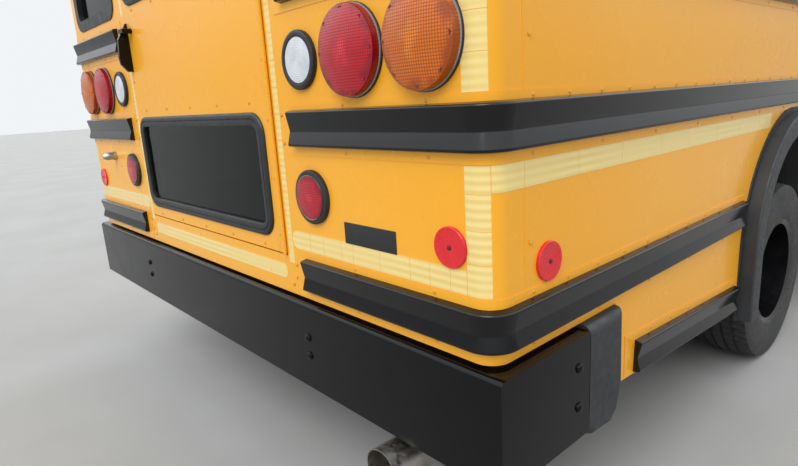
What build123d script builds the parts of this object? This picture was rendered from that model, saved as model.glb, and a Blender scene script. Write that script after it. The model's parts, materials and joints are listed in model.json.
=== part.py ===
"""A small school bus: a yellow steel body on a van chassis with twin rear wheels.

Millimetres, +X forward, +Y left, +Z up, with the ground at Z = 0 and the origin
under the middle of the whole bus. Stations are distances forward from the body's
rear skin, because that is how the body builder's drawings run.
"""
from math import atan2, cos, pi, radians, sin
import os

from build123d import *

os.makedirs("parts", exist_ok=True)

# Overall size
OVERALL_LENGTH = 6700
REAR_PROUD = 60                 # the exhaust's tip stands this far behind the skin
REAR_SKIN = -OVERALL_LENGTH / 2 + REAR_PROUD
FRONT_END = OVERALL_LENGTH - REAR_PROUD      # station of the foremost face

# Body
HALF = 1195.5                   # side skin from the centreline
WALL = 40                       # a wall or a door, skin to lining
CORNER = 45                     # rear corner radius, outside
WALL_TOP = 2190
ROOF_TOP = 2850
ROOF_CORNER = 450               # roof edge radius, outside
ROOF_END = 4400                 # station where the front cap takes over
SEAM = 91                       # station where corner panel and side panel meet
FLOOR = (700, 750)
REAR_SILL = 640                 # lower edge of the rear panel
SKIRT = 345                     # lower edge of the side panels ahead of the wheels

# Wheels
REAR_AXLE = 1848                # station
WHEELBASE = 4013
FRONT_AXLE = REAR_AXLE + WHEELBASE
TYRE_RADIUS = 362
TYRE_WIDTH = 222
RIM_RADIUS = 205                # bead seat
FLANGE_RADIUS = 222
TWIN_OUTER = 1061               # tyre centres from the centreline
TWIN_INNER = 807
FRONT_TRACK = 882
KINGPIN = 790
ARCH_HALF, ARCH_TOP, ARCH_CORNER = 470, 968, 390
FLARE_HALF, FLARE_TOP, FLARE_CORNER, FLARE_PROUD = 560, 1023, 448, 45
FRONT_ARCH = 430                # radius of the front wheel opening

# Doors
REAR_DOOR_Y = (-489, 504)
REAR_DOOR_Z = (750, 2090)
ENTRY = (4500, 5250)            # stations of the passenger doorway
ENTRY_Z = (330, 2150)
CAB_HALF = 1005                 # cab side from the centreline
CAB_DOOR = (4560, 5400)         # stations of the driver's door
CAB_DOOR_Z = (480, 2080)
GAP = 5                         # round every moving panel

# Side windows
WINDOWS = 6
WINDOW_START, WINDOW_PITCH, WINDOW_WIDTH = 160, 690, 640
WINDOW_Z = (1500, 2130)
WINDOW_RADIUS = 40

# Nose
COWL = (5720, 1320)             # station and height of the windshield's foot
BROW = (5290, 2060)             # and of its head
NOSE_END = 6500
HOOD_HALF = 700
HOOD_EDGE = 1130                # height of the hood's front lip
BUMPER_FACE = 6575

# Frame rails
RAIL_Y = (372, 432)
RAIL_Z = (500, 680)
RAIL_SHEET = 10

SIDES = (("left", 1), ("right", -1))


def at(station):
    """X of a station."""
    return REAR_SKIN + station


def span(low, high):
    """X range between two stations."""
    return (at(low), at(high))


def outward(side, low, high):
    """Y range that runs out to one side of the centreline."""
    return (min(side * low, side * high), max(side * low, side * high))


def block(x, y, z, mode=Mode.ADD):
    """Box given by its (low, high) range along each axis."""
    with Locations(((x[0] + x[1]) / 2, (y[0] + y[1]) / 2, (z[0] + z[1]) / 2)):
        Box(x[1] - x[0], y[1] - y[0], z[1] - z[0], mode=mode)


def side_slab(outline, y, mode=Mode.ADD, radius=0):
    """Polygon of (station, height) points, as thick as the Y range."""
    with BuildSketch(Plane.XZ.offset(-y[1])) as face:
        with BuildLine():
            Polyline([(at(station), height) for station, height in outline], close=True)
        make_face()
        if radius:
            fillet(face.vertices(), radius)
    extrude(face.sketch, amount=y[1] - y[0], mode=mode)


def plan_slab(outline, z, mode=Mode.ADD, radius=0):
    """Polygon of (station, y) points, as thick as the Z range."""
    with BuildSketch(Plane.XY.offset(z[0])) as face:
        with BuildLine():
            Polyline([(at(station), y) for station, y in outline], close=True)
        make_face()
        if radius:
            fillet(face.vertices(), radius)
    extrude(face.sketch, amount=z[1] - z[0], mode=mode)


def cross_slab(outline, x, mode=Mode.ADD, radius=0):
    """Polygon of (y, height) points, as thick as the X range."""
    with BuildSketch(Plane.YZ.offset(x[0])) as face:
        with BuildLine():
            Polyline(outline, close=True)
        make_face()
        if radius:
            fillet(face.vertices(), radius)
    extrude(face.sketch, amount=x[1] - x[0], mode=mode)


def side_pane(stations, z, y, radius, mode=Mode.ADD):
    """Rounded rectangle in a side wall, as thick as the Y range."""
    middle = (at((stations[0] + stations[1]) / 2), (z[0] + z[1]) / 2)
    with BuildSketch(Plane.XZ.offset(-y[1])) as face:
        with Locations(middle):
            RectangleRounded(stations[1] - stations[0], z[1] - z[0], radius)
    extrude(face.sketch, amount=y[1] - y[0], mode=mode)


def rear_pane(y, z, x, radius, mode=Mode.ADD):
    """Rounded rectangle in the rear wall, as thick as the X range."""
    with BuildSketch(Plane.YZ.offset(x[0])) as face:
        with Locations(((y[0] + y[1]) / 2, (z[0] + z[1]) / 2)):
            RectangleRounded(y[1] - y[0], z[1] - z[0], radius)
    extrude(face.sketch, amount=x[1] - x[0], mode=mode)


def rod(start, end, radius, mode=Mode.ADD):
    """Round bar from one point to another."""
    along = Vector(*end) - Vector(*start)
    with Locations(Plane(origin=start, z_dir=along)):
        Cylinder(radius, along.length, align=(Align.CENTER, Align.CENTER, Align.MIN), mode=mode)


def arch_slab(station, half, top, corner, bottom, y, mode=Mode.ADD):
    """Wheel opening: upright sides, round corners and a short flat top."""
    x = at(station)
    cut = corner * (1 - cos(pi / 4))
    with BuildSketch(Plane.XZ.offset(-y[1])) as face:
        with BuildLine():
            Polyline((x - half, top - corner), (x - half, bottom),
                     (x + half, bottom), (x + half, top - corner))
            ThreePointArc((x + half, top - corner), (x + half - cut, top - cut),
                          (x + half - corner, top))
            Line((x + half - corner, top), (x - half + corner, top))
            ThreePointArc((x - half + corner, top), (x - half + cut, top - cut),
                          (x - half, top - corner))
        make_face()
    extrude(face.sketch, amount=y[1] - y[0], mode=mode)


def dome(left, right, base, top, corner):
    """Roof section: a crown arc that runs into a corner arc on each side."""
    middle = (left - right) / 2
    half = (left + right) / 2
    rise = top - base
    crown = ((half - corner) ** 2 + rise ** 2 - corner ** 2) / (2 * (rise - corner))
    meet = atan2(base - (top - crown), half - corner)
    spring = meet / 2

    def edge(side, angle):
        return (middle + side * (half - corner + corner * cos(angle)), base + corner * sin(angle))

    with BuildLine() as outline:
        ThreePointArc(edge(1, 0), edge(1, spring), edge(1, meet))
        ThreePointArc(edge(1, meet), (middle, top), edge(-1, meet))
        ThreePointArc(edge(-1, meet), edge(-1, spring), edge(-1, 0))
        Line(edge(-1, 0), edge(1, 0))
    make_face(outline.edges())


def save(piece, name):
    """Label a finished piece and write it."""
    piece.part.label = name
    export_step(piece.part, f"parts/{name}.step")


# Chassis frame: two channel rails, cross members and the bumper mounts
CROSS_MEMBERS = (150, 1350, 2350, 3300, 4250, 5100)
OUTRIGGERS = ((400, 1150), (1000, 1150), (2700, 1150), (3400, 1150), (4100, 1150), (4800, 640))
with BuildPart() as chassis_frame:
    for side_name, side in SIDES:
        block(span(60, 6430), outward(side, *RAIL_Y), RAIL_Z)
        block(span(60, 6430), outward(side, RAIL_Y[0], RAIL_Y[1] - RAIL_SHEET),
              (RAIL_Z[0] + RAIL_SHEET, RAIL_Z[1] - RAIL_SHEET), Mode.SUBTRACT)
    for station in CROSS_MEMBERS:
        block(span(station, station + 60), (RAIL_SHEET - RAIL_Y[1], RAIL_Y[1] - RAIL_SHEET),
              (550, 650))
    for station, reach in OUTRIGGERS:
        for side_name, side in SIDES:
            block(span(station, station + 50), outward(side, RAIL_Y[1], reach), (640, FLOOR[0]))
            block(span(station, station + 50), outward(side, *RAIL_Y), (RAIL_Z[1], FLOOR[0]))
save(chassis_frame, "chassis_frame")

# Floor with the rear wheel houses and the entrance steps
HOUSE_Y = (640, HALF - WALL)
HOUSE_FOOT = 560
STEPS = (                       # tread height, outer edge, inner edge
    (340, 1150, 900),
    (545, 900, 660),
)
STEP_PLATE = 12
LINING = HALF - WALL
CAB_LINING = CAB_HALF - WALL
FLOOR_PLAN = ((WALL, -LINING), (ENTRY[0], -LINING), (ENTRY[0], -STEPS[1][2]),
              (ENTRY[1], -STEPS[1][2]), (ENTRY[1], -LINING), (5290, -LINING), (5380, -CAB_LINING),
              (5430, -CAB_LINING), (5430, CAB_LINING), (4500, CAB_LINING), (4380, LINING), (WALL, LINING))
with BuildPart() as body_floor:
    plan_slab(FLOOR_PLAN, FLOOR)
    for side_name, side in SIDES:
        y = outward(side, *HOUSE_Y)
        arch_slab(REAR_AXLE, ARCH_HALF + 20, ARCH_TOP + 20, ARCH_CORNER + 10, HOUSE_FOOT,
                  outward(side, HOUSE_Y[0] - 10, HOUSE_Y[1]))
        arch_slab(REAR_AXLE, ARCH_HALF + 10, ARCH_TOP + 10, ARCH_CORNER, HOUSE_FOOT, y,
                  Mode.SUBTRACT)
    for tread, outer, inner in STEPS:
        block(span(ENTRY[0], ENTRY[1]), (-outer, -inner), (tread - STEP_PLATE, tread))
        block(span(ENTRY[0], ENTRY[1]), (-inner - STEP_PLATE, -inner), (tread, tread + 205))
    for station in (ENTRY[0], ENTRY[1] - STEP_PLATE):
        block(span(station, station + STEP_PLATE), (-STEPS[0][2], -STEPS[1][2]),
              (STEPS[1][0] - STEP_PLATE, FLOOR[1]))
        block(span(station, station + STEP_PLATE), (-STEPS[0][1], -STEPS[0][2]),
              (STEPS[0][0] - STEP_PLATE, FLOOR[1]))
save(body_floor, "body_floor")

# Side walls, each as thick as the whole wall. Behind the wheels the skirt slopes down forward
SKIRT_REAR = (469, 425)         # station and height of the skirt's rear corner
SKIRT_FRONT = (REAR_AXLE - ARCH_HALF, 366)
SKIRT_EDGE = ((SEAM, REAR_SILL), (450, REAR_SILL), SKIRT_REAR, SKIRT_FRONT,
              (REAR_AXLE + ARCH_HALF, SKIRT))
with BuildPart() as left_wall:
    side_slab([*SKIRT_EDGE, (ROOF_END, SKIRT), (ROOF_END, WALL_TOP), (SEAM, WALL_TOP)],
              (HALF - WALL, HALF))
    arch_slab(REAR_AXLE, ARCH_HALF, ARCH_TOP, ARCH_CORNER, 0, (HALF - WALL, HALF), Mode.SUBTRACT)
    for index in range(WINDOWS):
        start = WINDOW_START + index * WINDOW_PITCH
        side_pane((start, start + WINDOW_WIDTH), WINDOW_Z, (HALF - WALL, HALF),
                  WINDOW_RADIUS, Mode.SUBTRACT)
save(left_wall, "left_wall")

WALL_END = 5290
with BuildPart() as right_wall:
    side_slab([*SKIRT_EDGE, (ENTRY[0] - GAP, SKIRT), (ENTRY[0] - GAP, ENTRY_Z[1] + GAP),
               (ENTRY[1] + GAP, ENTRY_Z[1] + GAP), (ENTRY[1] + GAP, SKIRT), (WALL_END, SKIRT),
               (WALL_END, WALL_TOP), (SEAM, WALL_TOP)], (-HALF, -HALF + WALL))
    arch_slab(REAR_AXLE, ARCH_HALF, ARCH_TOP, ARCH_CORNER, 0, (-HALF, -HALF + WALL), Mode.SUBTRACT)
    for index in range(WINDOWS):
        start = WINDOW_START + index * WINDOW_PITCH
        side_pane((start, start + WINDOW_WIDTH), WINDOW_Z, (-HALF, -HALF + WALL),
                  WINDOW_RADIUS, Mode.SUBTRACT)
save(right_wall, "right_wall")

# Rear wall with its round corner panels, and two screw holes for a plate
CORNER_WINDOW_Y = (606, 1085)
CORNER_WINDOW_Z = (1510, 2060)
PLATE_Y, PLATE_Z, PLATE_PITCH, PLATE_HOLE = 907, 925, 177.8, 3.5
with BuildPart() as rear_wall:
    for shell, mode in ((0, Mode.ADD), (WALL, Mode.SUBTRACT)):
        with BuildSketch(Plane.XY.offset(REAR_SILL)) as plan:
            with BuildLine():
                Polyline((at(SEAM), HALF - shell), (at(shell), HALF - shell),
                         (at(shell), shell - HALF), (at(SEAM), shell - HALF), close=True)
            make_face()
            if mode == Mode.ADD:
                fillet(plan.vertices().group_by(Axis.X)[0], CORNER)
        extrude(plan.sketch, amount=WALL_TOP - REAR_SILL, mode=mode)
    block(span(-1, WALL + 1), (REAR_DOOR_Y[0] - GAP, REAR_DOOR_Y[1] + GAP),
          (REAR_DOOR_Z[0] - GAP, REAR_DOOR_Z[1] + GAP), Mode.SUBTRACT)
    for side_name, side in SIDES:
        rear_pane(outward(side, *CORNER_WINDOW_Y), CORNER_WINDOW_Z, span(-1, WALL + 1), 50,
                  Mode.SUBTRACT)
    for offset in (-PLATE_PITCH / 2, PLATE_PITCH / 2):
        rod((at(-1), PLATE_Y + offset, PLATE_Z), (at(WALL + 1), PLATE_Y + offset, PLATE_Z),
            PLATE_HOLE, Mode.SUBTRACT)
save(rear_wall, "rear_wall")

# Roof shell with the escape hatch's curb
HATCH = (2150, 2790)            # stations of the curb, outside
HATCH_HALF = 320
CURB = 30
CURB_TOP = 2870
with BuildPart() as roof:
    with BuildSketch(Plane.YZ.offset(at(0))) as outer:
        dome(HALF, HALF, WALL_TOP, ROOF_TOP, ROOF_CORNER)
    extrude(outer.sketch, amount=ROOF_END)
    rear_arcs = roof.edges().filter_by(GeomType.CIRCLE).group_by(Axis.X)[0]
    fillet(rear_arcs, CORNER)
    block(span(*HATCH), (-HATCH_HALF, HATCH_HALF), (ROOF_TOP - 60, CURB_TOP))
    with BuildSketch(Plane.YZ.offset(at(WALL))) as inner:
        dome(HALF - WALL, HALF - WALL, WALL_TOP, ROOF_TOP - WALL, ROOF_CORNER - WALL)
    extrude(inner.sketch, amount=ROOF_END - WALL, mode=Mode.SUBTRACT)
    block(span(HATCH[0] + CURB, HATCH[1] - CURB), (CURB - HATCH_HALF, HATCH_HALF - CURB),
          (ROOF_TOP - 100, CURB_TOP), Mode.SUBTRACT)
save(roof, "roof")

# Moulded front cap, from the full roof down to the windshield's head
CAP_WALL = 15
CAP = (                         # station, left, right, top, corner radius
    (ROOF_END, HALF, HALF, ROOF_TOP, ROOF_CORNER),
    (4850, 1110, HALF, 2812, 430),
    (5180, 1045, 1130, 2600, 320),
    (5330, CAB_HALF, 1075, 2262, 60),
)
WARNING_Z = 2400
WARNING_Y = (("red", 790), ("amber", 565))
WARNING_FACE = 5300
POD_RADIUS = 108
with BuildPart() as front_cap:
    for skin, mode in ((0, Mode.ADD), (CAP_WALL, Mode.SUBTRACT)):
        sections = []
        for station, left, right, top, corner in CAP:
            inset = skin if station != ROOF_END else 0
            with BuildSketch(Plane.YZ.offset(at(station - inset))) as section:
                dome(left - skin, right - skin, WALL_TOP, top - skin, corner - skin)
            sections.append(section.sketch)
        loft(sections=sections, mode=mode)
    for colour, y in WARNING_Y:
        for side_name, side in SIDES:
            rod((at(WARNING_FACE - 330), side * y, WARNING_Z),
                (at(WARNING_FACE + 60), side * y, WARNING_Z), POD_RADIUS, Mode.SUBTRACT)
save(front_cap, "front_cap")

# Cab: door frame, windshield frame and the panel ahead of the passenger doorway
HEADER = 5240                   # rear face of the windshield header
CAB_PLAN = ((ROOF_END, HALF), (4520, CAB_HALF), (5640, CAB_HALF), (COWL[0], 900),
            (COWL[0], -900), (5640, -CAB_HALF), (5400, -CAB_HALF), (WALL_END, -HALF),
            (WALL_END, -LINING), (HEADER, -LINING), (HEADER, 0), (ROOF_END, 0))
CAB_INNER = ((ROOF_END - 20, LINING), (4500, CAB_LINING), (5640, CAB_LINING),
             (COWL[0] - WALL, 870), (COWL[0] - WALL, -870), (5640, -CAB_LINING),
             (5380, -CAB_LINING), (WALL_END, -LINING), (HEADER, -LINING - 1), (HEADER - 1, -1),
             (ROOF_END - 20, -1))
CAB_SIDE = ((ROOF_END, CAB_DOOR_Z[0] - 60), (5410, CAB_DOOR_Z[0] - 60), (5410, COWL[1]), COWL,
            BROW, (BROW[0], WALL_TOP), (ROOF_END, WALL_TOP))
DOOR_SIDE = ((CAB_DOOR[0], CAB_DOOR_Z[0]), (CAB_DOOR[0], CAB_DOOR_Z[1]), (5235, CAB_DOOR_Z[1]),
             (CAB_DOOR[1], 1796), (CAB_DOOR[1], CAB_DOOR_Z[0]))
rake = atan2(BROW[1] - COWL[1], COWL[0] - BROW[0])
WINDSHIELD = (1760, 740, 60)    # width, height up the slope, corner radius
WINDSHIELD_PLANE = Plane(
    origin=(at((COWL[0] + BROW[0]) / 2), 0, (COWL[1] + BROW[1]) / 2),
    x_dir=(0, 1, 0), z_dir=(sin(rake), 0, cos(rake)))


def grow(outline, amount):
    """Move every point of a (station, height) outline away from its middle."""
    middle_s = sum(point[0] for point in outline) / len(outline)
    middle_z = sum(point[1] for point in outline) / len(outline)
    return [(s + (amount if s > middle_s else -amount), z + (amount if z > middle_z else -amount))
            for s, z in outline]


with BuildPart() as cab:
    plan_slab(CAB_PLAN, (400, WALL_TOP))
    side_slab(CAB_SIDE, (-HALF, HALF), Mode.INTERSECT)
    with BuildPart(mode=Mode.PRIVATE) as cab_space:
        plan_slab(CAB_INNER, (300, WALL_TOP))
        side_slab(((ROOF_END - 20, 300), (5410, 300), (5410, COWL[1] - WALL),
                   (COWL[0] - 50, COWL[1] - WALL), (HEADER, BROW[1]), (HEADER, WALL_TOP),
                   (ROOF_END - 20, WALL_TOP)), (-HALF, HALF), Mode.INTERSECT)
    add(cab_space.part, mode=Mode.SUBTRACT)
    side_slab(grow(DOOR_SIDE, GAP), (CAB_HALF - WALL - 1, CAB_HALF + 1), Mode.SUBTRACT)
    with BuildSketch(WINDSHIELD_PLANE) as glass_hole:
        RectangleRounded(*WINDSHIELD)
    extrude(glass_hole.sketch, amount=80, both=True, mode=Mode.SUBTRACT)
save(cab, "cab")

# Nose: fenders, grille surround, cowl and firewall in one shell, with the hood cut out
NOSE_PLAN = ((5415, CAB_HALF), (NOSE_END, CAB_HALF), (NOSE_END, -CAB_HALF), (5415, -CAB_HALF))
NOSE_SIDE = ((5415, 470), (5415, COWL[1]), (COWL[0], COWL[1]), (6430, 1215), (NOSE_END, HOOD_EDGE),
             (NOSE_END, 662), (6425, 662), (6200, 560), (6200, 470))
NOSE_CORNER = 140
SHEET = 12
FIREWALL = 5430


def nose_solid(inset):
    """Outside of the nose, or the space inside it."""
    with BuildPart(mode=Mode.PRIVATE) as solid:
        with BuildSketch(Plane.XY.offset(300)) as plan:
            with Locations((at((5415 + NOSE_END) / 2), 0)):
                Rectangle(NOSE_END - 5415 - 2 * inset, 2 * (CAB_HALF - inset))
            fillet(plan.vertices().group_by(Axis.X)[-1], NOSE_CORNER - inset)
        extrude(plan.sketch, amount=1200)
        side_slab([(s + (inset if s < 6000 else -inset), z - (inset if z > 1000 else 200 if inset else 0))
                   for s, z in NOSE_SIDE], (-HALF, HALF), Mode.INTERSECT)
    return solid.part


GRILLE_HALF, GRILLE_Z = 420, (700, 1080)
HEADLAMP_Y, HEADLAMP_Z = (480, 850), (790, 1040)
with BuildPart() as nose:
    add(nose_solid(0))
    add(nose_solid(SHEET), mode=Mode.SUBTRACT)
    block(span(5400, 5440), (-CAB_HALF + SHEET, CAB_HALF - SHEET), (0, 2000), Mode.SUBTRACT)
    block(span(COWL[0] - 5, NOSE_END + 5), (-HOOD_HALF - GAP, HOOD_HALF + GAP),
          (HOOD_EDGE - GAP, 1500), Mode.SUBTRACT)
    for side_name, side in SIDES:
        rod((at(FRONT_AXLE), side * 700, TYRE_RADIUS), (at(FRONT_AXLE), side * 1100, TYRE_RADIUS),
            FRONT_ARCH, Mode.SUBTRACT)
        rear_pane(outward(side, *HEADLAMP_Y), HEADLAMP_Z, span(NOSE_END - 60, NOSE_END + 5), 40,
                  Mode.SUBTRACT)
    rear_pane((-GRILLE_HALF, GRILLE_HALF), GRILLE_Z, span(NOSE_END - 60, NOSE_END + 5), 40,
              Mode.SUBTRACT)
    block(span(FIREWALL, FIREWALL + SHEET), (1 - CAB_HALF, CAB_HALF - 1), (FLOOR[0], COWL[1] - 1))
save(nose, "nose")

# Hood, hinged along its rear edge
with BuildPart() as hood:
    add(nose_solid(0))
    add(nose_solid(20), mode=Mode.SUBTRACT)
    block(span(COWL[0] + 5, NOSE_END + 5), (-HOOD_HALF, HOOD_HALF), (HOOD_EDGE, 1500), Mode.INTERSECT)
save(hood, "hood")

# Grille: a frame with level bars
with BuildPart() as grille:
    rear_pane((-GRILLE_HALF, GRILLE_HALF), GRILLE_Z, span(NOSE_END - 40, NOSE_END), 40)
    rear_pane((30 - GRILLE_HALF, GRILLE_HALF - 30), (GRILLE_Z[0] + 30, GRILLE_Z[1] - 30),
              span(NOSE_END - 40, NOSE_END), 20, Mode.SUBTRACT)
    for index in range(6):
        height = GRILLE_Z[0] + 60 + index * 50
        block(span(NOSE_END - 35, NOSE_END - 8), (30 - GRILLE_HALF, GRILLE_HALF - 30),
              (height, height + 16))
save(grille, "grille")

# Front bumper
with BuildPart() as front_bumper:
    with BuildSketch(Plane.XY.offset(440)) as plan:
        with Locations((at(6440), 0)):
            Rectangle(2 * (BUMPER_FACE - 6440), 2 * 1000)
        fillet(plan.vertices(), 100)
    extrude(plan.sketch, amount=215)
    with BuildSketch(Plane.XY.offset(430)) as hollow:
        with Locations((at(6440), 0)):
            Rectangle(2 * (BUMPER_FACE - 6440) - 12, 2 * 994)
        fillet(hollow.vertices(), 94)
    extrude(hollow.sketch, amount=219, mode=Mode.SUBTRACT)
    block(span(6000, 6440), (-1100, 1100), (300, 800), Mode.SUBTRACT)
save(front_bumper, "front_bumper")

# Rear bumper: one long folded channel that wraps both corners
BUMPER_Z = (393, 632)
BUMPER_HALF = 1225
BUMPER_REAR, BUMPER_WRAP = -21, 286
PLATE = 6
with BuildPart() as rear_bumper:
    block(span(BUMPER_REAR, BUMPER_WRAP), (-BUMPER_HALF, BUMPER_HALF), BUMPER_Z)
    long_edges = rear_bumper.edges().filter_by(Axis.Y).group_by(Axis.X)[0].sort_by(Axis.Z)
    fillet(long_edges[-1], 14)
    block(span(BUMPER_REAR + PLATE, BUMPER_WRAP), (PLATE - BUMPER_HALF, BUMPER_HALF - PLATE),
          (BUMPER_Z[0], BUMPER_Z[1] - PLATE), Mode.SUBTRACT)
    block(span(BUMPER_REAR + 50, BUMPER_WRAP), (50 - BUMPER_HALF, BUMPER_HALF - 50),
          (BUMPER_Z[0], BUMPER_Z[1]), Mode.SUBTRACT)
    for side_name, side in SIDES:
        block(span(BUMPER_REAR + PLATE, 60), outward(side, *RAIL_Y), (480, 620))
save(rear_bumper, "rear_bumper")

# Moulded rubber: bumper end pieces, wheel arch flares with a flat lip, and short mud flaps
END_PIECE = ((289, REAR_SILL), (440, REAR_SILL), (446, 455), (425, 385), (392, 360), (312, 366),
             (289, 388))
END_PIECE_INSIDE = 1165
END_ROUND, FLARE_ROUND = 22, 34
LIP, LIP_PROUD = 20, 5
FLARE_FOOT = 330


def outer_rim(solid, side, reach):
    """Edges of a solid's outermost face on one side."""
    return solid.edges().filter_by_position(Axis.Y, side * reach - 0.1, side * reach + 0.1)


with BuildPart() as rubber_guards:
    for side_name, side in SIDES:
        with BuildPart(mode=Mode.PRIVATE) as end_piece:
            side_slab(END_PIECE, outward(side, END_PIECE_INSIDE, BUMPER_HALF))
            rim = outer_rim(end_piece, side, BUMPER_HALF)
            fillet([edge for edge in rim if edge.center().X > at(END_PIECE[0][0] + 1)], END_ROUND)
        add(end_piece.part)
        with BuildPart(mode=Mode.PRIVATE) as flare:
            arch_slab(REAR_AXLE, FLARE_HALF - LIP, FLARE_TOP - LIP, FLARE_CORNER - LIP, FLARE_FOOT,
                      outward(side, HALF, HALF + FLARE_PROUD))
            rim = outer_rim(flare, side, HALF + FLARE_PROUD)
            fillet([edge for edge in rim if edge.center().Z > FLARE_FOOT + 1], FLARE_ROUND)
            arch_slab(REAR_AXLE, FLARE_HALF, FLARE_TOP, FLARE_CORNER, FLARE_FOOT,
                      outward(side, HALF, HALF + LIP_PROUD))
            arch_slab(REAR_AXLE, ARCH_HALF, ARCH_TOP, ARCH_CORNER, FLARE_FOOT,
                      outward(side, HALF, HALF + FLARE_PROUD), Mode.SUBTRACT)
        add(flare.part)
        cross_slab([(side * 700, 280), (side * 1120, 280), (side * 1150, 310), (side * 1150, REAR_SILL),
                    (side * 700, REAR_SILL)], span(1300, 1308))
save(rubber_guards, "rubber_guards")

# Rub rails: a rolled section with a ridge along each edge and a crease between them
RIDGE, CREASE = 22, 12          # how far they stand out of the skin
CREASE_SHARE = 0.44             # of the rail's height, from its low edge
RIDGE_SLOPE = 4
RIDGE_ROUND, CREASE_ROUND = 5, 8
RAILS = (                       # low edge, high edge, inner end at the rear, side end station
    (1369, 1459, 587, ROOF_END),
    (1037, 1127, 587, ROOF_END),
    (666, 752, 587, REAR_AXLE - FLARE_HALF - 10),
)
SKIRT_RAIL = (547, 1252)        # stations of the short rails on the skirt behind the wheels
SKIRT_RAIL_FOOT, SKIRT_RAIL_HEIGHT = 427, 86
LOW_RAIL_AHEAD = (390, 476)


def rail_section(plane, side, low, high):
    """Closed section, in a plane whose x points out of the skin."""
    crease = low + CREASE_SHARE * (high - low)
    outline = ((0, high), (RIDGE, high - RIDGE_SLOPE), (CREASE, crease), (RIDGE, low + RIDGE_SLOPE),
               (0, low))
    with BuildSketch(plane) as section:
        with BuildLine():
            Polyline([(out, side * height) for out, height in outline], close=True)
        make_face()
        fillet(section.vertices().group_by(Axis.X)[-1], RIDGE_ROUND)
        fillet([point for point in section.vertices() if abs(point.X - CREASE) < 0.1], CREASE_ROUND)
    return section.sketch


def side_rail(side, low, high, stations):
    """Straight rail along a side wall."""
    plane = Plane(origin=(at(stations[0]), side * HALF, 0), x_dir=(0, side, 0), z_dir=(1, 0, 0))
    extrude(rail_section(plane, side, low, high), amount=stations[1] - stations[0])


def skirt_rail(side):
    """Short rail that follows the sloping edge of the skirt behind a rear wheel."""
    slope = atan2(SKIRT_REAR[1] - SKIRT_FRONT[1], SKIRT_FRONT[0] - SKIRT_REAR[0])
    plane = Plane(origin=(at(SKIRT_RAIL[0]), side * HALF, SKIRT_RAIL_FOOT), x_dir=(0, side, 0),
                  z_dir=(cos(slope), 0, -sin(slope)))
    extrude(rail_section(plane, side, 0, SKIRT_RAIL_HEIGHT),
            amount=(SKIRT_RAIL[1] - SKIRT_RAIL[0]) / cos(slope))


def corner_rail(side, low, high, inner_end, side_end):
    """Rail that starts on the rear wall and turns the corner onto the side."""
    with BuildLine() as path:
        rear = Line((at(0), side * inner_end, 0), (at(0), side * (HALF - CORNER), 0))
        bend = TangentArc(rear @ 1, (at(CORNER), side * HALF, 0), tangent=rear % 1)
        Line(bend @ 1, (at(side_end), side * HALF, 0))
    start = Plane(origin=(at(0), side * inner_end, 0), x_dir=(-1, 0, 0), z_dir=(0, side, 0))
    sweep(sections=rail_section(start, side, low, high), path=path.wire())


with BuildPart() as rub_rails:
    for side_name, side in SIDES:
        for low, high, inner_end, side_end in RAILS:
            corner_rail(side, low, high, inner_end, side_end)
        for low, high in (RAILS[2][:2], LOW_RAIL_AHEAD):
            side_rail(side, low, high, (REAR_AXLE + FLARE_HALF + 10, ENTRY[0] - 20))
        skirt_rail(side)
save(rub_rails, "rub_rails")

# Window frames: black sashes with a thin flange outside
FRAME = 30
SASH_Z = 1815
CORNER_PANE_Y = (CORNER_WINDOW_Y[0] + FRAME, CORNER_WINDOW_Y[1] - FRAME)
CORNER_PANE_Z = (CORNER_WINDOW_Z[0] + FRAME, CORNER_WINDOW_Z[1] - FRAME)
PANE_Z = (WINDOW_Z[0] + FRAME, WINDOW_Z[1] - FRAME)


def window_spans():
    """Stations of the side windows' openings."""
    starts = [WINDOW_START + index * WINDOW_PITCH for index in range(WINDOWS)]
    return [(start, start + WINDOW_WIDTH) for start in starts]


with BuildPart() as window_frames:
    for side_name, side in SIDES:
        for start, end in window_spans():
            side_pane((start, end), WINDOW_Z, outward(side, HALF - WALL, HALF), WINDOW_RADIUS)
            side_pane((start - 12, end + 12), (WINDOW_Z[0] - 12, WINDOW_Z[1] + 12),
                      outward(side, HALF, HALF + 4), WINDOW_RADIUS + 12)
            side_pane((start + FRAME, end - FRAME), PANE_Z, outward(side, HALF - WALL, HALF + 4),
                      WINDOW_RADIUS - 20, Mode.SUBTRACT)
            block(span(start + FRAME, end - FRAME), outward(side, HALF - 30, HALF - 6),
                  (SASH_Z - 14, SASH_Z + 14))
        rear_pane(outward(side, *CORNER_WINDOW_Y), CORNER_WINDOW_Z, span(0, WALL), 50)
        rear_pane(outward(side, CORNER_WINDOW_Y[0] - 12, CORNER_WINDOW_Y[1] + 12),
                  (CORNER_WINDOW_Z[0] - 12, CORNER_WINDOW_Z[1] + 12), span(-4, 0), 62)
        rear_pane(outward(side, *CORNER_PANE_Y), CORNER_PANE_Z, span(-4, WALL), 30, Mode.SUBTRACT)
save(window_frames, "window_frames")

# Fixed glass: side panes, rear corner panes and the windshield
GLASS = 5
with BuildPart() as fixed_glass:
    for side_name, side in SIDES:
        for start, end in window_spans():
            inside = outward(side, HALF - 20 - GLASS, HALF - 20)
            side_pane((start + FRAME, end - FRAME), PANE_Z, inside, WINDOW_RADIUS - 20)
            block(span(start, end), inside, (SASH_Z - 14, SASH_Z + 14), Mode.SUBTRACT)
        rear_pane(outward(side, *CORNER_PANE_Y), CORNER_PANE_Z, span(16, 16 + GLASS), 30)
    with BuildSketch(WINDSHIELD_PLANE.offset(-20)) as pane:
        RectangleRounded(*WINDSHIELD)
    extrude(pane.sketch, amount=GLASS)
save(fixed_glass, "fixed_glass")

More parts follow.
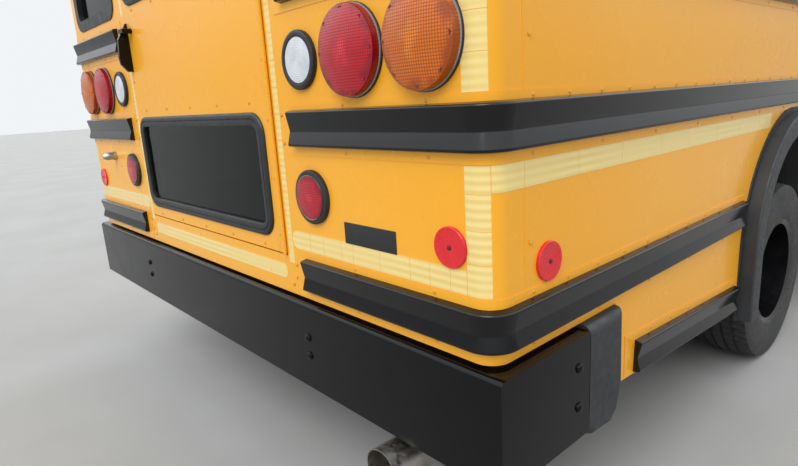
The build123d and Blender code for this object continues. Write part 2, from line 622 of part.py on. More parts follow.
# Rear emergency door with its two windows and its piano hinge
DOOR_PANES = (                  # y range, z range, corner radius of the cut
    ((-434, 479), (799, 1114), 48),
    ((-434, 460), (1525, 1985), 48),
)
SEAL_OUT, SEAL_IN = 12, 23      # the rubber channel runs this far past the cut, each way
DOOR_FACE = -2
HINGE_Y, HINGE_X, HINGE_RADIUS = -491.5, -6, 5
with BuildPart() as rear_door:
    block(span(DOOR_FACE, DOOR_FACE + WALL), REAR_DOOR_Y, REAR_DOOR_Z)
    for y, z, radius in DOOR_PANES:
        rear_pane(y, z, span(DOOR_FACE, DOOR_FACE + WALL), radius, Mode.SUBTRACT)
    rod((at(HINGE_X), HINGE_Y, REAR_DOOR_Z[0]), (at(HINGE_X), HINGE_Y, REAR_DOOR_Z[1]), HINGE_RADIUS)
save(rear_door, "rear_door")

with BuildPart() as rear_door_seals:
    for y, z, radius in DOOR_PANES:
        rear_pane((y[0] - SEAL_OUT, y[1] + SEAL_OUT), (z[0] - SEAL_OUT, z[1] + SEAL_OUT),
                  span(DOOR_FACE - 9, DOOR_FACE), radius + SEAL_OUT)
        rear_pane(y, z, span(DOOR_FACE, DOOR_FACE + WALL), radius)
        rear_pane((y[0] + SEAL_IN, y[1] - SEAL_IN), (z[0] + SEAL_IN, z[1] - SEAL_IN),
                  span(DOOR_FACE - 9, DOOR_FACE + WALL), radius - SEAL_IN, Mode.SUBTRACT)
save(rear_door_seals, "rear_door_seals")

with BuildPart() as rear_door_glass:
    for y, z, radius in DOOR_PANES:
        rear_pane((y[0] + SEAL_IN, y[1] - SEAL_IN), (z[0] + SEAL_IN, z[1] - SEAL_IN),
                  span(DOOR_FACE + 4, DOOR_FACE + 4 + GLASS), radius - SEAL_IN)
save(rear_door_glass, "rear_door_glass")

# Handle guard: an upright fin beside the lever
FIN = ((DOOR_FACE, 1292), (-20, 1292), (-42, 1318), (-45, 1345), (-40, 1405), (-8, 1461),
       (DOOR_FACE, 1461))
with BuildPart() as rear_door_handle:
    side_slab(FIN, (474, 488))
    block(span(-36, -24), (430, 474), (1424, 1438))
    rod((at(-30), 436, 1431), (at(DOOR_FACE), 436, 1431), 9)
save(rear_door_handle, "rear_door_handle")

# Driver's door
CAB_PANE = ((4620, 1390), (4620, 2020), (5215, 2020), (5340, 1806), (5340, 1390))
with BuildPart() as driver_door:
    side_slab(DOOR_SIDE, (CAB_HALF - WALL, CAB_HALF))
    side_slab(CAB_PANE, (CAB_HALF - WALL, CAB_HALF), Mode.SUBTRACT, 30)
save(driver_door, "driver_door")
with BuildPart() as driver_door_glass:
    side_slab(CAB_PANE, (CAB_HALF - 22, CAB_HALF - 22 + GLASS), Mode.ADD, 30)
save(driver_door_glass, "driver_door_glass")

# Passenger entrance: two leaves that swing outward from their outer edges
LEAF_GAP = 10
ENTRY_MIDDLE = (ENTRY[0] + ENTRY[1]) / 2
LEAVES = (                      # name, first and last station
    ("rear", ENTRY[0] + GAP, ENTRY_MIDDLE - LEAF_GAP / 2),
    ("front", ENTRY_MIDDLE + LEAF_GAP / 2, ENTRY[1] - GAP),
)
LEAF_Z = (ENTRY_Z[0] + GAP, ENTRY_Z[1] - GAP)
LEAF_PANES = ((LEAF_Z[0] + 70, 1060), (1120, LEAF_Z[1] - 60))
for leaf_name, start, end in LEAVES:
    with BuildPart() as leaf:
        block(span(start, end), (-HALF, -HALF + WALL), LEAF_Z)
        for pane_z in LEAF_PANES:
            side_pane((start + 55, end - 55), pane_z, (-HALF, -HALF + WALL), 25, Mode.SUBTRACT)
    save(leaf, f"entry_leaf_{leaf_name}")
    with BuildPart() as leaf_glass:
        for pane_z in LEAF_PANES:
            side_pane((start + 55, end - 55), pane_z, (-HALF + 18, -HALF + 18 + GLASS), 25)
    save(leaf_glass, f"entry_glass_{leaf_name}")

# Roof hatch lid
LID_LIP = 15
LID_Z = (CURB_TOP + GAP, CURB_TOP + 30)
with BuildPart() as hatch_lid:
    block(span(HATCH[0] - LID_LIP, HATCH[1] + LID_LIP),
          (-HATCH_HALF - LID_LIP, HATCH_HALF + LID_LIP), LID_Z)
    chamfer(hatch_lid.faces().sort_by(Axis.Z)[-1].edges(), 10, 16)
save(hatch_lid, "hatch_lid")

# Stop arm on the left side, crossing arm on the front bumper, and their brackets
STOP_HINGE = (4350, 1262)       # station and y of its pin
STOP_Z = 1250
SIGN_ACROSS = 450
CROSS_HINGE = (6605, -800)
CROSS_Z = (500, 620)
CROSS_REACH = 780
with BuildPart() as arm_bases:
    block(span(4300, 4395), (HALF, 1240), (STOP_Z - 70, STOP_Z + 70))
    for z in ((STOP_Z - 70, STOP_Z - 62), (STOP_Z + 62, STOP_Z + 70)):
        block(span(STOP_HINGE[0] - 14, STOP_HINGE[0] + 14), (1240, STOP_HINGE[1] + 12), z)
    block(span(BUMPER_FACE, BUMPER_FACE + 12), (CROSS_HINGE[1] - 70, CROSS_HINGE[1] + 60), CROSS_Z)
    for z in ((CROSS_Z[0], CROSS_Z[0] + 8), (CROSS_Z[1] - 8, CROSS_Z[1])):
        block(span(BUMPER_FACE + 12, FRONT_END), (CROSS_HINGE[1] - 30, CROSS_HINGE[1] + 30), z)
save(arm_bases, "arm_bases")
with BuildPart() as stop_arm:
    x = at(STOP_HINGE[0] - 30 - SIGN_ACROSS / 2)
    with BuildSketch(Plane.XZ.offset(-STOP_HINGE[1] - 6)) as sign:
        with Locations((x, STOP_Z)):
            RegularPolygon(SIGN_ACROSS / 2, 8, major_radius=False, rotation=22.5)
    extrude(sign.sketch, amount=6)
    block((x, at(STOP_HINGE[0])), (STOP_HINGE[1] - 6, STOP_HINGE[1]), (STOP_Z - 30, STOP_Z + 30))
    rod((at(STOP_HINGE[0]), STOP_HINGE[1], STOP_Z - 57), (at(STOP_HINGE[0]), STOP_HINGE[1], STOP_Z + 57), 9)
save(stop_arm, "stop_arm")

with BuildPart() as crossing_arm:
    x = at(CROSS_HINGE[0])
    rod((x, CROSS_HINGE[1], CROSS_Z[0] + 13), (x, CROSS_HINGE[1], CROSS_Z[1] - 13), 10)
    for z in (CROSS_Z[0] + 30, CROSS_Z[1] - 30):
        rod((x, CROSS_HINGE[1], z), (x, CROSS_REACH, z), 7)
    rod((x, CROSS_REACH, CROSS_Z[0] + 13), (x, CROSS_REACH, CROSS_Z[1] - 13), 10)
save(crossing_arm, "crossing_arm")

# Lamps: (y, z, radius of the base, radius of the lens, depth of base, depth of lens)
REAR_LAMPS = (
    ("red", 843, 1240, 95, 92, 6, 30),
    ("amber", 1052, 1242, 95, 92, 6, 30),
    ("red", 647, 918, 66, 52, 5, 9),
    ("clear", 645, 1238, 66, 52, 5, 7),
    ("red", 880, 2420, 95, 92, 6, 30),
    ("amber", 640, 2420, 95, 92, 6, 30),
)
REFLECTOR_RADIUS = 40.5
LENS_PROUD = 40
MARKERS = ((0, 2710), (160, 2710), (985, 2490))      # y and z of the small lamps on the roof's end
MARKER_RADIUS = 22
LENS_SAG = 0.4                  # share of a lens's depth that its crown takes


def crowned_lens(centre, axis, radius, depth):
    """Moulded lens: a short cylinder whose outer face is part of a big ball."""
    sag = LENS_SAG * depth
    ball = (radius ** 2 + sag ** 2) / (2 * sag)
    with BuildPart(Plane(origin=centre, z_dir=axis), mode=Mode.PRIVATE) as body:
        Cylinder(radius, depth, align=(Align.CENTER, Align.CENTER, Align.MIN))
        with Locations((0, 0, depth - ball)):
            Sphere(ball, mode=Mode.INTERSECT)
    add(body.part)


with BuildPart() as lamp_bases:
    for side_name, side in SIDES:
        for colour, y, z, base, radius, base_depth, lens_depth in REAR_LAMPS:
            rod((at(0), side * y, z), (at(-base_depth), side * y, z), base)
        for colour, y in WARNING_Y:
            rod((at(WARNING_FACE - 330), side * y, WARNING_Z),
                (at(WARNING_FACE), side * y, WARNING_Z), POD_RADIUS)
        rear_pane(outward(side, *HEADLAMP_Y), HEADLAMP_Z, span(NOSE_END - 60, NOSE_END - 8), 40)
save(lamp_bases, "lamp_bases")


def lenses(colour):
    """Add every round lens of one colour to the open part."""
    for side_name, side in SIDES:
        for lamp_colour, y, z, base, radius, base_depth, lens_depth in REAR_LAMPS:
            if lamp_colour == colour:
                crowned_lens((at(-base_depth), side * y, z), (-1, 0, 0), radius, lens_depth)
        for lamp_colour, y in WARNING_Y:
            if lamp_colour == colour:
                crowned_lens((at(WARNING_FACE), side * y, WARNING_Z), (1, 0, 0), 93, LENS_PROUD)


with BuildPart() as lenses_red:
    lenses("red")
    for side_name, side in SIDES:
        rod((at(0), side * 1097, 861), (at(-8), side * 1097, 861), REFLECTOR_RADIUS)
        rod((at(170), side * HALF, 811.5), (at(170), side * (HALF + 8), 811.5), REFLECTOR_RADIUS)
    for y, z in {(side * y, z) for y, z in MARKERS for side_name, side in SIDES}:
        rod((at(0), y, z), (at(-18), y, z), MARKER_RADIUS)
save(lenses_red, "lenses_red")
with BuildPart() as lenses_amber:
    lenses("amber")
    for side_name, side in SIDES:
        rod((at(4250), side * HALF, 811.5), (at(4250), side * (HALF + 8), 811.5), REFLECTOR_RADIUS)
save(lenses_amber, "lenses_amber")
with BuildPart() as lenses_clear:
    lenses("clear")
    for side_name, side in SIDES:
        rear_pane(outward(side, *HEADLAMP_Y), HEADLAMP_Z, span(NOSE_END - 8, NOSE_END), 40)
save(lenses_clear, "lenses_clear")

# Rear axle: tube, differential and spring seats
SPRING_Y = (462, 537)
SPRING_SEAT = 430
with BuildPart() as rear_axle:
    rod((at(REAR_AXLE), -925, TYRE_RADIUS), (at(REAR_AXLE), 925, TYRE_RADIUS), 48)
    with Locations((at(REAR_AXLE), 0, TYRE_RADIUS)):
        Sphere(150)
    rod((at(REAR_AXLE + 100), 0, TYRE_RADIUS + 20), (at(REAR_AXLE + 198), 0, TYRE_RADIUS + 23), 60)
    for side_name, side in SIDES:
        block(span(REAR_AXLE - 60, REAR_AXLE + 60), outward(side, *SPRING_Y), (340, SPRING_SEAT))
save(rear_axle, "rear_axle")

# Front axle: twin beams that cross under the engine, each with an eye for its kingpin
EYE_RADIUS, EYE_HALF = 42, 55
PIN_RADIUS = 18
BEAMS = ((1, -85), (-1, 35))    # side, rear face measured from the axle line
with BuildPart() as front_axle:
    for side, offset in BEAMS:
        y = [side * value for value in (-380, -380, 700, 700)]
        cross_slab(list(zip(y, (310, 370, 392, 332))), span(FRONT_AXLE + offset, FRONT_AXLE + offset + 50))
        block(span(FRONT_AXLE + min(offset, -20), FRONT_AXLE + max(offset + 50, 20)),
              outward(side, 660, 752), (336, 388))
        rod((at(FRONT_AXLE), side * KINGPIN, TYRE_RADIUS - EYE_HALF),
            (at(FRONT_AXLE), side * KINGPIN, TYRE_RADIUS + EYE_HALF), EYE_RADIUS)
        rod((at(FRONT_AXLE), side * KINGPIN, TYRE_RADIUS - EYE_HALF - 1),
            (at(FRONT_AXLE), side * KINGPIN, TYRE_RADIUS + EYE_HALF + 1), PIN_RADIUS + 1, Mode.SUBTRACT)
save(front_axle, "front_axle")

# Steering knuckles: a yoke round the beam's eye, the kingpin and the spindle
for side_name, side in SIDES:
    with BuildPart() as knuckle:
        for low, high in ((-95, -60), (60, 95)):
            rod((at(FRONT_AXLE), side * KINGPIN, TYRE_RADIUS + low),
                (at(FRONT_AXLE), side * KINGPIN, TYRE_RADIUS + high), EYE_RADIUS)
            block(span(FRONT_AXLE - 32, FRONT_AXLE + 32), outward(side, KINGPIN, KINGPIN + 75),
                  (TYRE_RADIUS + low, TYRE_RADIUS + high))
        block(span(FRONT_AXLE - 32, FRONT_AXLE + 32), outward(side, KINGPIN + 48, KINGPIN + 75),
              (TYRE_RADIUS - 95, TYRE_RADIUS + 95))
        rod((at(FRONT_AXLE), side * KINGPIN, TYRE_RADIUS - 95),
            (at(FRONT_AXLE), side * KINGPIN, TYRE_RADIUS + 95), PIN_RADIUS)
        rod((at(FRONT_AXLE), side * (KINGPIN + 75), TYRE_RADIUS),
            (at(FRONT_AXLE), side * 985, TYRE_RADIUS), 25)
    save(knuckle, f"knuckle_{side_name}")

# Springs and dampers
with BuildPart() as suspension:
    for side_name, side in SIDES:
        with BuildSketch(Plane.XZ.offset(-outward(side, *SPRING_Y)[1])) as leafs:
            with BuildLine():
                x = at(REAR_AXLE)
                ThreePointArc((x - 650, 520), (x, SPRING_SEAT), (x + 650, 520))
                Line((x + 650, 520), (x + 650, 540))
                ThreePointArc((x + 650, 540), (x, SPRING_SEAT + 45), (x - 650, 540))
                Line((x - 650, 540), (x - 650, 520))
            make_face()
        extrude(leafs.sketch, amount=SPRING_Y[1] - SPRING_Y[0])
        for station in (REAR_AXLE - 650, REAR_AXLE + 650):
            block(span(station - 30, station + 30), outward(side, RAIL_Y[1], 545), (515, 590))
        rod((at(FRONT_AXLE), side * 510, 396), (at(FRONT_AXLE), side * 510, 640), 55)
        block(span(FRONT_AXLE - 60, FRONT_AXLE + 60), outward(side, RAIL_Y[1], 570), (640, 655))
save(suspension, "suspension")

# Wheels, turned about their own axles
TYRE_SECTION = ((-90, 205), (-92, 224), (-111, 280), (-104, 335), (-82, 362), (82, 362),
                (104, 335), (111, 280), (92, 224), (90, 205))
BARREL = ((-104, 222), (-95, 222), (-92, 205), (92, 205), (95, 222), (104, 222),
          (104, 214), (98, 195), (-98, 195), (-104, 214))


def turn(outline, station, side, centre):
    """Turn a (offset outward, radius) section about an axle."""
    with BuildSketch(Plane.YZ.offset(at(station))) as section:
        with BuildLine():
            Polyline([(side * (centre + out), TYRE_RADIUS + radius) for out, radius in outline],
                     close=True)
        make_face()
    revolve(section.sketch, axis=Axis((at(station), 0, TYRE_RADIUS), (0, 1, 0)))


def disc_holes(station, side, low, high, count, ring, radius):
    """Round holes through a wheel disc."""
    for index in range(count):
        angle = 2 * pi * index / count
        x, z = at(station) + ring * cos(angle), TYRE_RADIUS + ring * sin(angle)
        rod((x, side * low, z), (x, side * high, z), radius, Mode.SUBTRACT)


HAND_HOLES = 8
FRONT_DISC = ((-98, 195), (98, 195), (98, 190), (92, 175), (100, 150), (104, 105), (104, 60),
              (150, 58), (150, 0), (112, 0), (112, 30), (0, 30), (0, 75), (90, 85), (92, 105),
              (88, 150), (80, 178), (70, 190), (-98, 190))
for side_name, side in SIDES:
    with BuildPart() as tyre:
        turn(TYRE_SECTION, FRONT_AXLE, side, FRONT_TRACK)
    save(tyre, f"tyre_front_{side_name}")
    with BuildPart() as rim:
        turn(BARREL, FRONT_AXLE, side, FRONT_TRACK)
        turn(FRONT_DISC, FRONT_AXLE, side, FRONT_TRACK)
        disc_holes(FRONT_AXLE, side, FRONT_TRACK + 60, FRONT_TRACK + 110, HAND_HOLES, 148, 18)
    save(rim, f"rim_front_{side_name}")

TWIN_MIDDLE = (TWIN_INNER + TWIN_OUTER) / 2
TWIN_DISC = ((0, 60), (0, 112), (34, 150), (56, 190), (56, 197), (80, 197), (76, 186), (46, 144),
             (12, 106), (12, 60))
TWIN_HUB = ((-290, 56), (-290, 170), (-150, 170), (-150, 92), (12, 92), (20, 66), (70, 60), (70, 0),
            (30, 0), (30, 56))
for side_name, side in SIDES:
    with BuildPart() as tyres:
        for centre in (TWIN_INNER, TWIN_OUTER):
            turn(TYRE_SECTION, REAR_AXLE, side, centre)
    save(tyres, f"tyres_rear_{side_name}")
    with BuildPart() as rims:
        for centre in (TWIN_INNER, TWIN_OUTER):
            turn(BARREL, REAR_AXLE, side, centre)
        turn(TWIN_DISC, REAR_AXLE, side, TWIN_MIDDLE)
        turn([(-out, radius) for out, radius in TWIN_DISC], REAR_AXLE, side, TWIN_MIDDLE)
        turn(TWIN_HUB, REAR_AXLE, side, TWIN_MIDDLE)
        disc_holes(REAR_AXLE, side, TWIN_MIDDLE - 60, TWIN_MIDDLE + 60, HAND_HOLES, 150, 15)
    save(rims, f"rims_rear_{side_name}")

# Engine and gearbox as one plain block, the radiator, the driveshaft, tank and exhaust
with BuildPart() as engine:
    block(span(5480, 6150), (-260, 260), (480, 1050))
    block(span(5165, 5480), (-150, 150), (420, 690))
save(engine, "engine")
with BuildPart() as radiator:
    block(span(6330, 6390), (-365, 365), (560, 1060))
save(radiator, "radiator")
with BuildPart() as driveshaft:
    rod((at(5163.5), 0, 480), (at(REAR_AXLE + 200), 0, 385), 42)
save(driveshaft, "driveshaft")
with BuildPart() as fuel_tank:
    block(span(440, 1300), (-350, 350), (400, 640))
    fillet(fuel_tank.edges().filter_by(Axis.X), 60)
save(fuel_tank, "fuel_tank")

EXHAUST_RADIUS = 38
EXHAUST = (                     # station, y, z
    (5050, -230, 440), (4700, -560, 440), (3700, -560, 470), (3000, -560, 470), (2450, -596, 485),
    (900, -596, 485), (420, -908, 322), (50, -908, 318),
)
TIP_RADIUS, TIP_SHEET = 51, 2.5
TIP = (60, -REAR_PROUD)         # stations of the tip's two ends
with BuildPart() as exhaust:
    with BuildLine() as route:
        FilletPolyline([(at(s), y, z) for s, y, z in EXHAUST], radius=90)
    with BuildSketch(Plane(origin=route.line @ 0, z_dir=route.line % 0)) as bore:
        Circle(EXHAUST_RADIUS)
    sweep(sections=bore.sketch, path=route.wire())
    tip_ends = [(at(station), *EXHAUST[-1][1:]) for station in TIP]
    rod(*tip_ends, TIP_RADIUS)
    rod((at(TIP[0] - 12), *EXHAUST[-1][1:]), (at(TIP[1] - 1), *EXHAUST[-1][1:]), TIP_RADIUS - TIP_SHEET,
        Mode.SUBTRACT)
    rod((at(3050), -560, 470), (at(3650), -560, 470), 105)
save(exhaust, "exhaust")

# Passenger benches: padded parts and their steel frames
ROWS = 6
ROW_START = 440
BENCH_Y = (215, 1135)
BENCH_BACK = ((0, 1130), (95, 1130), (35, 1800), (-50, 1800))
BENCH_SEAT = ((100, 1115), (485, 1130), (485, 1235), (100, 1215))
with BuildPart() as passenger_seats:
    for row in range(ROWS):
        base = ROW_START + row * WINDOW_PITCH
        for side_name, side in SIDES:
            for outline in (BENCH_BACK, BENCH_SEAT):
                side_slab([(base + s, z) for s, z in outline], outward(side, *BENCH_Y), Mode.ADD, 30)
save(passenger_seats, "passenger_seats")

TUBE = 26
with BuildPart() as seat_frames:
    for row in range(ROWS):
        base = ROW_START + row * WINDOW_PITCH
        for side_name, side in SIDES:
            for s in (150, 440):
                for y in (260, 560):
                    block(span(base + s - TUBE / 2, base + s + TUBE / 2),
                          outward(side, y - TUBE / 2, y + TUBE / 2), (FLOOR[1], 1100))
            block(span(base + 110, base + 480), outward(side, 240, 1100), (1090, 1114))
save(seat_frames, "seat_frames")

# Driver's seat, dashboard and steering wheel
with BuildPart() as driver_seat:
    block(span(4760, 5100), (330, 690), (FLOOR[1], 1080))
    side_slab([(4720, 1085), (5180, 1100), (5180, 1210), (4720, 1190)], (270, 750), Mode.ADD, 30)
    side_slab([(4640, 1180), (4715, 1180), (4660, 1850), (4580, 1850)], (270, 750), Mode.ADD, 30)
save(driver_seat, "driver_seat")
WHEEL_TILT = 35
HUB = Plane(origin=(at(5150), 510, 1340), x_dir=(0, 1, 0),
            z_dir=(-sin(radians(WHEEL_TILT)), 0, cos(radians(WHEEL_TILT))))
COLUMN = 80
with BuildPart() as dashboard:
    side_slab([(5300, 1000), (5425, 950), (5425, 1275), (5330, 1275), (5265, 1190)], (-640, 960))
    rod(tuple(HUB.origin - HUB.z_dir * COLUMN), tuple(HUB.origin - HUB.z_dir * 260), 45)
save(dashboard, "dashboard")
with BuildPart() as steering_wheel:
    with Locations(HUB):
        Torus(190, 13)
        Cylinder(32, 30)
        for angle in (0, 120, 240):
            with Locations(Rotation(0, 0, angle)):
                Box(190, 26, 10, align=(Align.MIN, Align.CENTER, Align.CENTER))
    rod(tuple(HUB.origin), tuple(HUB.origin - HUB.z_dir * COLUMN), 22)
save(steering_wheel, "steering_wheel")

# Mirrors: a tall pair at the windshield posts and a domed pair on the fenders
with BuildPart() as mirrors:
    for side_name, side in SIDES:
        for station, z in ((5520, 1230), (5480, 1560)):
            rod((at(station - 20), side * (CAB_HALF - 40), z - 14), (at(5600), side * 1190, z + 60), 12)
            block(span(station - 35, station + 45), outward(side, CAB_HALF, CAB_HALF + 14), (z - 40, z + 45))
        rod((at(5600), side * 1190, 1270), (at(5600), side * 1190, 1690), 12)
        rear_pane(outward(side, 1180, 1370), (1330, 1700), span(5560, 5615), 40)
        rod((at(6300), side * 850, 1200), (at(6400), side * 930, 1480), 10)
        with Locations((at(6400), side * 930, 1530)):
            Sphere(105)
        block(span(6250, 6390), outward(side, 800, 1100), (1400, 1700), Mode.SUBTRACT)
    block(span(5400, 5640), (-CAB_HALF, CAB_HALF), (1000, 1800), Mode.SUBTRACT)
    add(nose_solid(0), mode=Mode.SUBTRACT)
save(mirrors, "mirrors")
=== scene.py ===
"""Looks of a small school bus: its paint, lamps, tape, rubber, glass, seats and tyres.

Metres, +X forward, +Y left, +Z up, with the ground at Z = 0. Stations are distances
forward from the body's rear skin, as on the body builder's drawings.
"""
# %% [markdown]
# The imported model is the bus's metalwork at its real size. Everything below is fitted
# to it in the same frame, so a lens or a strip of tape goes where the drawing says.

# %% Load the bus
import json
from math import cos, pi, radians, sin

import bmesh
import bpy
from mathutils import Matrix, Vector
from mathutils.bvhtree import BVHTree
import numpy as np


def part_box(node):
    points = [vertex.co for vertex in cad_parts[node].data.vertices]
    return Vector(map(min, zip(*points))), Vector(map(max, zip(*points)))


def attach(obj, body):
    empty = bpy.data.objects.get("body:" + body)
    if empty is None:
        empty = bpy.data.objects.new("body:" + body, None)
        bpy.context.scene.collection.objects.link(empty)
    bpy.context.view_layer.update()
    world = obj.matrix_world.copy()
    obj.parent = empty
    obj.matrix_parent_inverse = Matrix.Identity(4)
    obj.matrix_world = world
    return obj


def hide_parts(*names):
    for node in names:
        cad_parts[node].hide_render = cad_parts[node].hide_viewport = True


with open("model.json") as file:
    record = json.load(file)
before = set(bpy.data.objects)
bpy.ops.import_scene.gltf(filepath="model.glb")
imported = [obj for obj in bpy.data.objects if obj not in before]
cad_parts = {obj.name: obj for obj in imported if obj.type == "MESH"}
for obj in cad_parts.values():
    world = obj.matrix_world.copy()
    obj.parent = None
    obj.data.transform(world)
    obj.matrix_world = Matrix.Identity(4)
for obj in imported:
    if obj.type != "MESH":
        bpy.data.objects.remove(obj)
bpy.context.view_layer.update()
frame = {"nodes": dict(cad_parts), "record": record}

# %% [markdown]
# Most pieces lie on the body's skin, so its main sizes are named once. The skin is flat
# at the rear and the sides and turns each rear corner on a 45 mm radius.

# %% Main sizes
REAR_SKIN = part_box("rear_wall")[0].x
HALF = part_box("left_wall")[1].y
CORNER = 0.045
ROOF_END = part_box("roof")[1].x - REAR_SKIN
WALL = 0.040
REAR_AXLE, FRONT_AXLE = 1.848, 5.861
TYRE_RADIUS = 0.362
CAB_HALF = 1.005
WINDOW_PITCH = 0.690
ROOF_EDGE = 2.190               # height where the walls meet the roof
SIDES = (("left", 1), ("right", -1))
BOTH = (1, -1)
MILLIMETRE = 0.001
FORWARD, BACKWARD = np.array([1.0, 0.0, 0.0]), np.array([-1.0, 0.0, 0.0])
UP, LEFT = np.array([0.0, 0.0, 1.0]), np.array([0.0, 1.0, 0.0])


def at(station):
    """X of a station."""
    return REAR_SKIN + station


print("skin half width", round(HALF, 4), "rear skin", round(REAR_SKIN, 3))

# %% [markdown]
# A finish is a short chain of shader nodes. One function adds a node with its settings and
# its links, and one turns a paint chip's sRGB hex code into linear light. The sizes of
# patterns are millimetres, so three small functions work out sockets' values from them.

# %% Shader helpers
NOISE_LOW, NOISE_HIGH = 0.35, 0.65      # range that a noise pattern mostly keeps to


def linear(code):
    """Linear RGBA of an sRGB hex colour."""
    channels = np.array([int(code[i:i + 2], 16) for i in (1, 3, 5)]) / 255
    curve = np.where(channels <= 0.04045, channels / 12.92, ((channels + 0.055) / 1.055) ** 2.4)
    return (*curve.tolist(), 1.0)


def add(tree, kind, sockets=None, **settings):
    """Add a shader node, set its properties, and set or link its input sockets. A node
    given as a value is linked by its first output, and a hex colour is made linear."""
    made = tree.nodes.new("ShaderNode" + kind)
    for name, value in settings.items():
        setattr(made, name, value)
    for socket, value in (sockets or {}).items():
        if isinstance(value, bpy.types.Node):
            value = value.outputs[0]
        if isinstance(value, bpy.types.NodeSocket):
            tree.links.new(value, made.inputs[socket])
        else:
            made.inputs[socket].default_value = linear(value) if isinstance(value, str) else value
    return made


def cloudy(place, size, detail=3.0):
    """Sockets of a noise whose features are size millimetres across."""
    return {"Vector": place, "Scale": 1 / (size * MILLIMETRE), "Detail": detail}


def between(factor, low, high):
    """Sockets of a range from low to high, as the factor runs through a noise's range."""
    return {"Value": factor, "From Min": NOISE_LOW, "From Max": NOISE_HIGH, "To Min": low, "To Max": high}


def raised(height, depth):
    """Sockets of a bump whose full height is depth millimetres."""
    return {"Height": height, "Strength": 1.0, "Distance": depth * MILLIMETRE}


print("mid grey in linear light", round(linear("#808080")[0], 3))

# %% [markdown]
# Every finish starts from an empty node tree and the object's own coordinates, and ends in
# one Principled shader. Most are a coat of paint, rubber or metal: a colour that drifts, a
# gloss that varies with smears, and a fine relief.

# %% Finishes


def blank(name):
    """A material with an empty node tree, the tree, and object coordinates in it."""
    material = bpy.data.materials.new(name)
    material.use_nodes = True
    tree = material.node_tree
    tree.nodes.clear()
    print("finish", name)
    return material, tree, add(tree, "TexCoord").outputs["Object"]


def drifting(tree, pattern, low_chip, high_chip):
    """Colour that drifts between two chips as a noise pattern runs through its range."""
    share = add(tree, "MapRange", between(pattern, 0.0, 1.0))
    return add(tree, "MixRGB", {"Fac": share, "Color1": low_chip, "Color2": high_chip})


def close(tree, colour, roughness, bump, shader):
    """End a tree in a Principled shader."""
    sockets = {"Base Color": colour, "Roughness": roughness, **shader}
    if bump is not None:
        sockets["Normal"] = add(tree, "Bump", bump)
    add(tree, "OutputMaterial", {"Surface": add(tree, "BsdfPrincipled", sockets)})


def coated(name, chips, drift, gloss, grain, shader=None):
    """A finish whose colour drifts between two chips over drift mm, whose roughness runs
    between the two gloss values, and whose relief is grain = (size mm, depth mm)."""
    material, tree, place = blank(name)
    colour = drifting(tree, add(tree, "TexNoise", cloudy(place, drift)), *chips)
    smears = add(tree, "TexNoise", cloudy(place, drift / 5, 5.0))
    bumps = add(tree, "TexNoise", cloudy(place, grain[0], 2.0))
    close(tree, colour, add(tree, "MapRange", between(smears, *gloss)), raised(bumps, grain[1]),
          shader or {})
    return material


# %% [markdown]
# School buses are sprayed in one chrome yellow enamel over steel. It is glossy, with the
# faint orange peel of sprayed paint, and the sun has bleached it a little unevenly. The
# bumper has a black enamel and the rails a glossier one. The rivet heads have a darker,
# oranger yellow, a painted shade that sets them off from the panel.

# %% Paints


def glossy(level=0.5, coat=0.0, coat_roughness=0.03):
    """Sockets of a shine: the paint's own reflection, and a clear coat over it."""
    return {"Specular IOR Level": level, "Coat Weight": coat, "Coat Roughness": coat_roughness}


YELLOW_CHIPS, YELLOW_SHINE = ("#F6AC25", "#F8B232"), glossy(0.3, 0.2, 0.07)
YELLOW_DRIFT, YELLOW_GLOSS, YELLOW_PEEL = 900, (0.24, 0.34), (9, 0.004)
yellow_enamel = coated("chrome_yellow_enamel", YELLOW_CHIPS, YELLOW_DRIFT, YELLOW_GLOSS, YELLOW_PEEL,
                       YELLOW_SHINE)
black_enamel = coated("gloss_black_enamel", ("#070709", "#0A0A0D"), 500, (0.12, 0.22), (10, 0.012),
                      glossy(0.2))
rail_enamel = coated("fresh_black_rail_enamel", ("#09090C", "#0D0D11"), 500, (0.10, 0.16), (12, 0.004),
                     glossy(0.34))
# The rivets' darker, oranger yellow is painted shade on their heads.
shaded_rivet_enamel = coated("yellow_rivet_enamel_with_painted_shade", ("#DC9420", "#EBA42A"), 40, (0.3, 0.42), (3, 0.02),
                      glossy(0.4))
wheel_enamel = coated("black_wheel_enamel", ("#0E0E10", "#151517"), 300, (0.20, 0.28), (10, 0.004))
chassis_paint = coated("satin_chassis_paint", ("#1A1A1B", "#2A2826"), 140, (0.45, 0.75), (5, 0.08))
red_enamel = coated("red_sign_enamel", ("#B5121B", "#BE1620"), 400, (0.30, 0.42), (8, 0.01),
                    glossy(coat=0.4, coat_roughness=0.15))
white_enamel = coated("white_enamel", ("#E9E9E4", "#EFEFEA"), 500, (0.32, 0.45), (8, 0.01),
                      glossy(coat=0.3, coat_roughness=0.2))
tube_enamel = coated("powder_coated_tube", ("#3A3C3F", "#44464A"), 200, (0.5, 0.62), (2, 0.03))

# %% [markdown]
# The body's panels are yellow outside and cream inside, and each panel is one part. So
# their paint looks where a face points: one that is under the skin and looks towards the
# cabin's middle has the cream lining.

# %% Panels with two paints
CABIN_MIDDLE = (at(ROOF_END / 2), 0.0, 1.6)
CREAM_CHIP = "#DAD4C2"


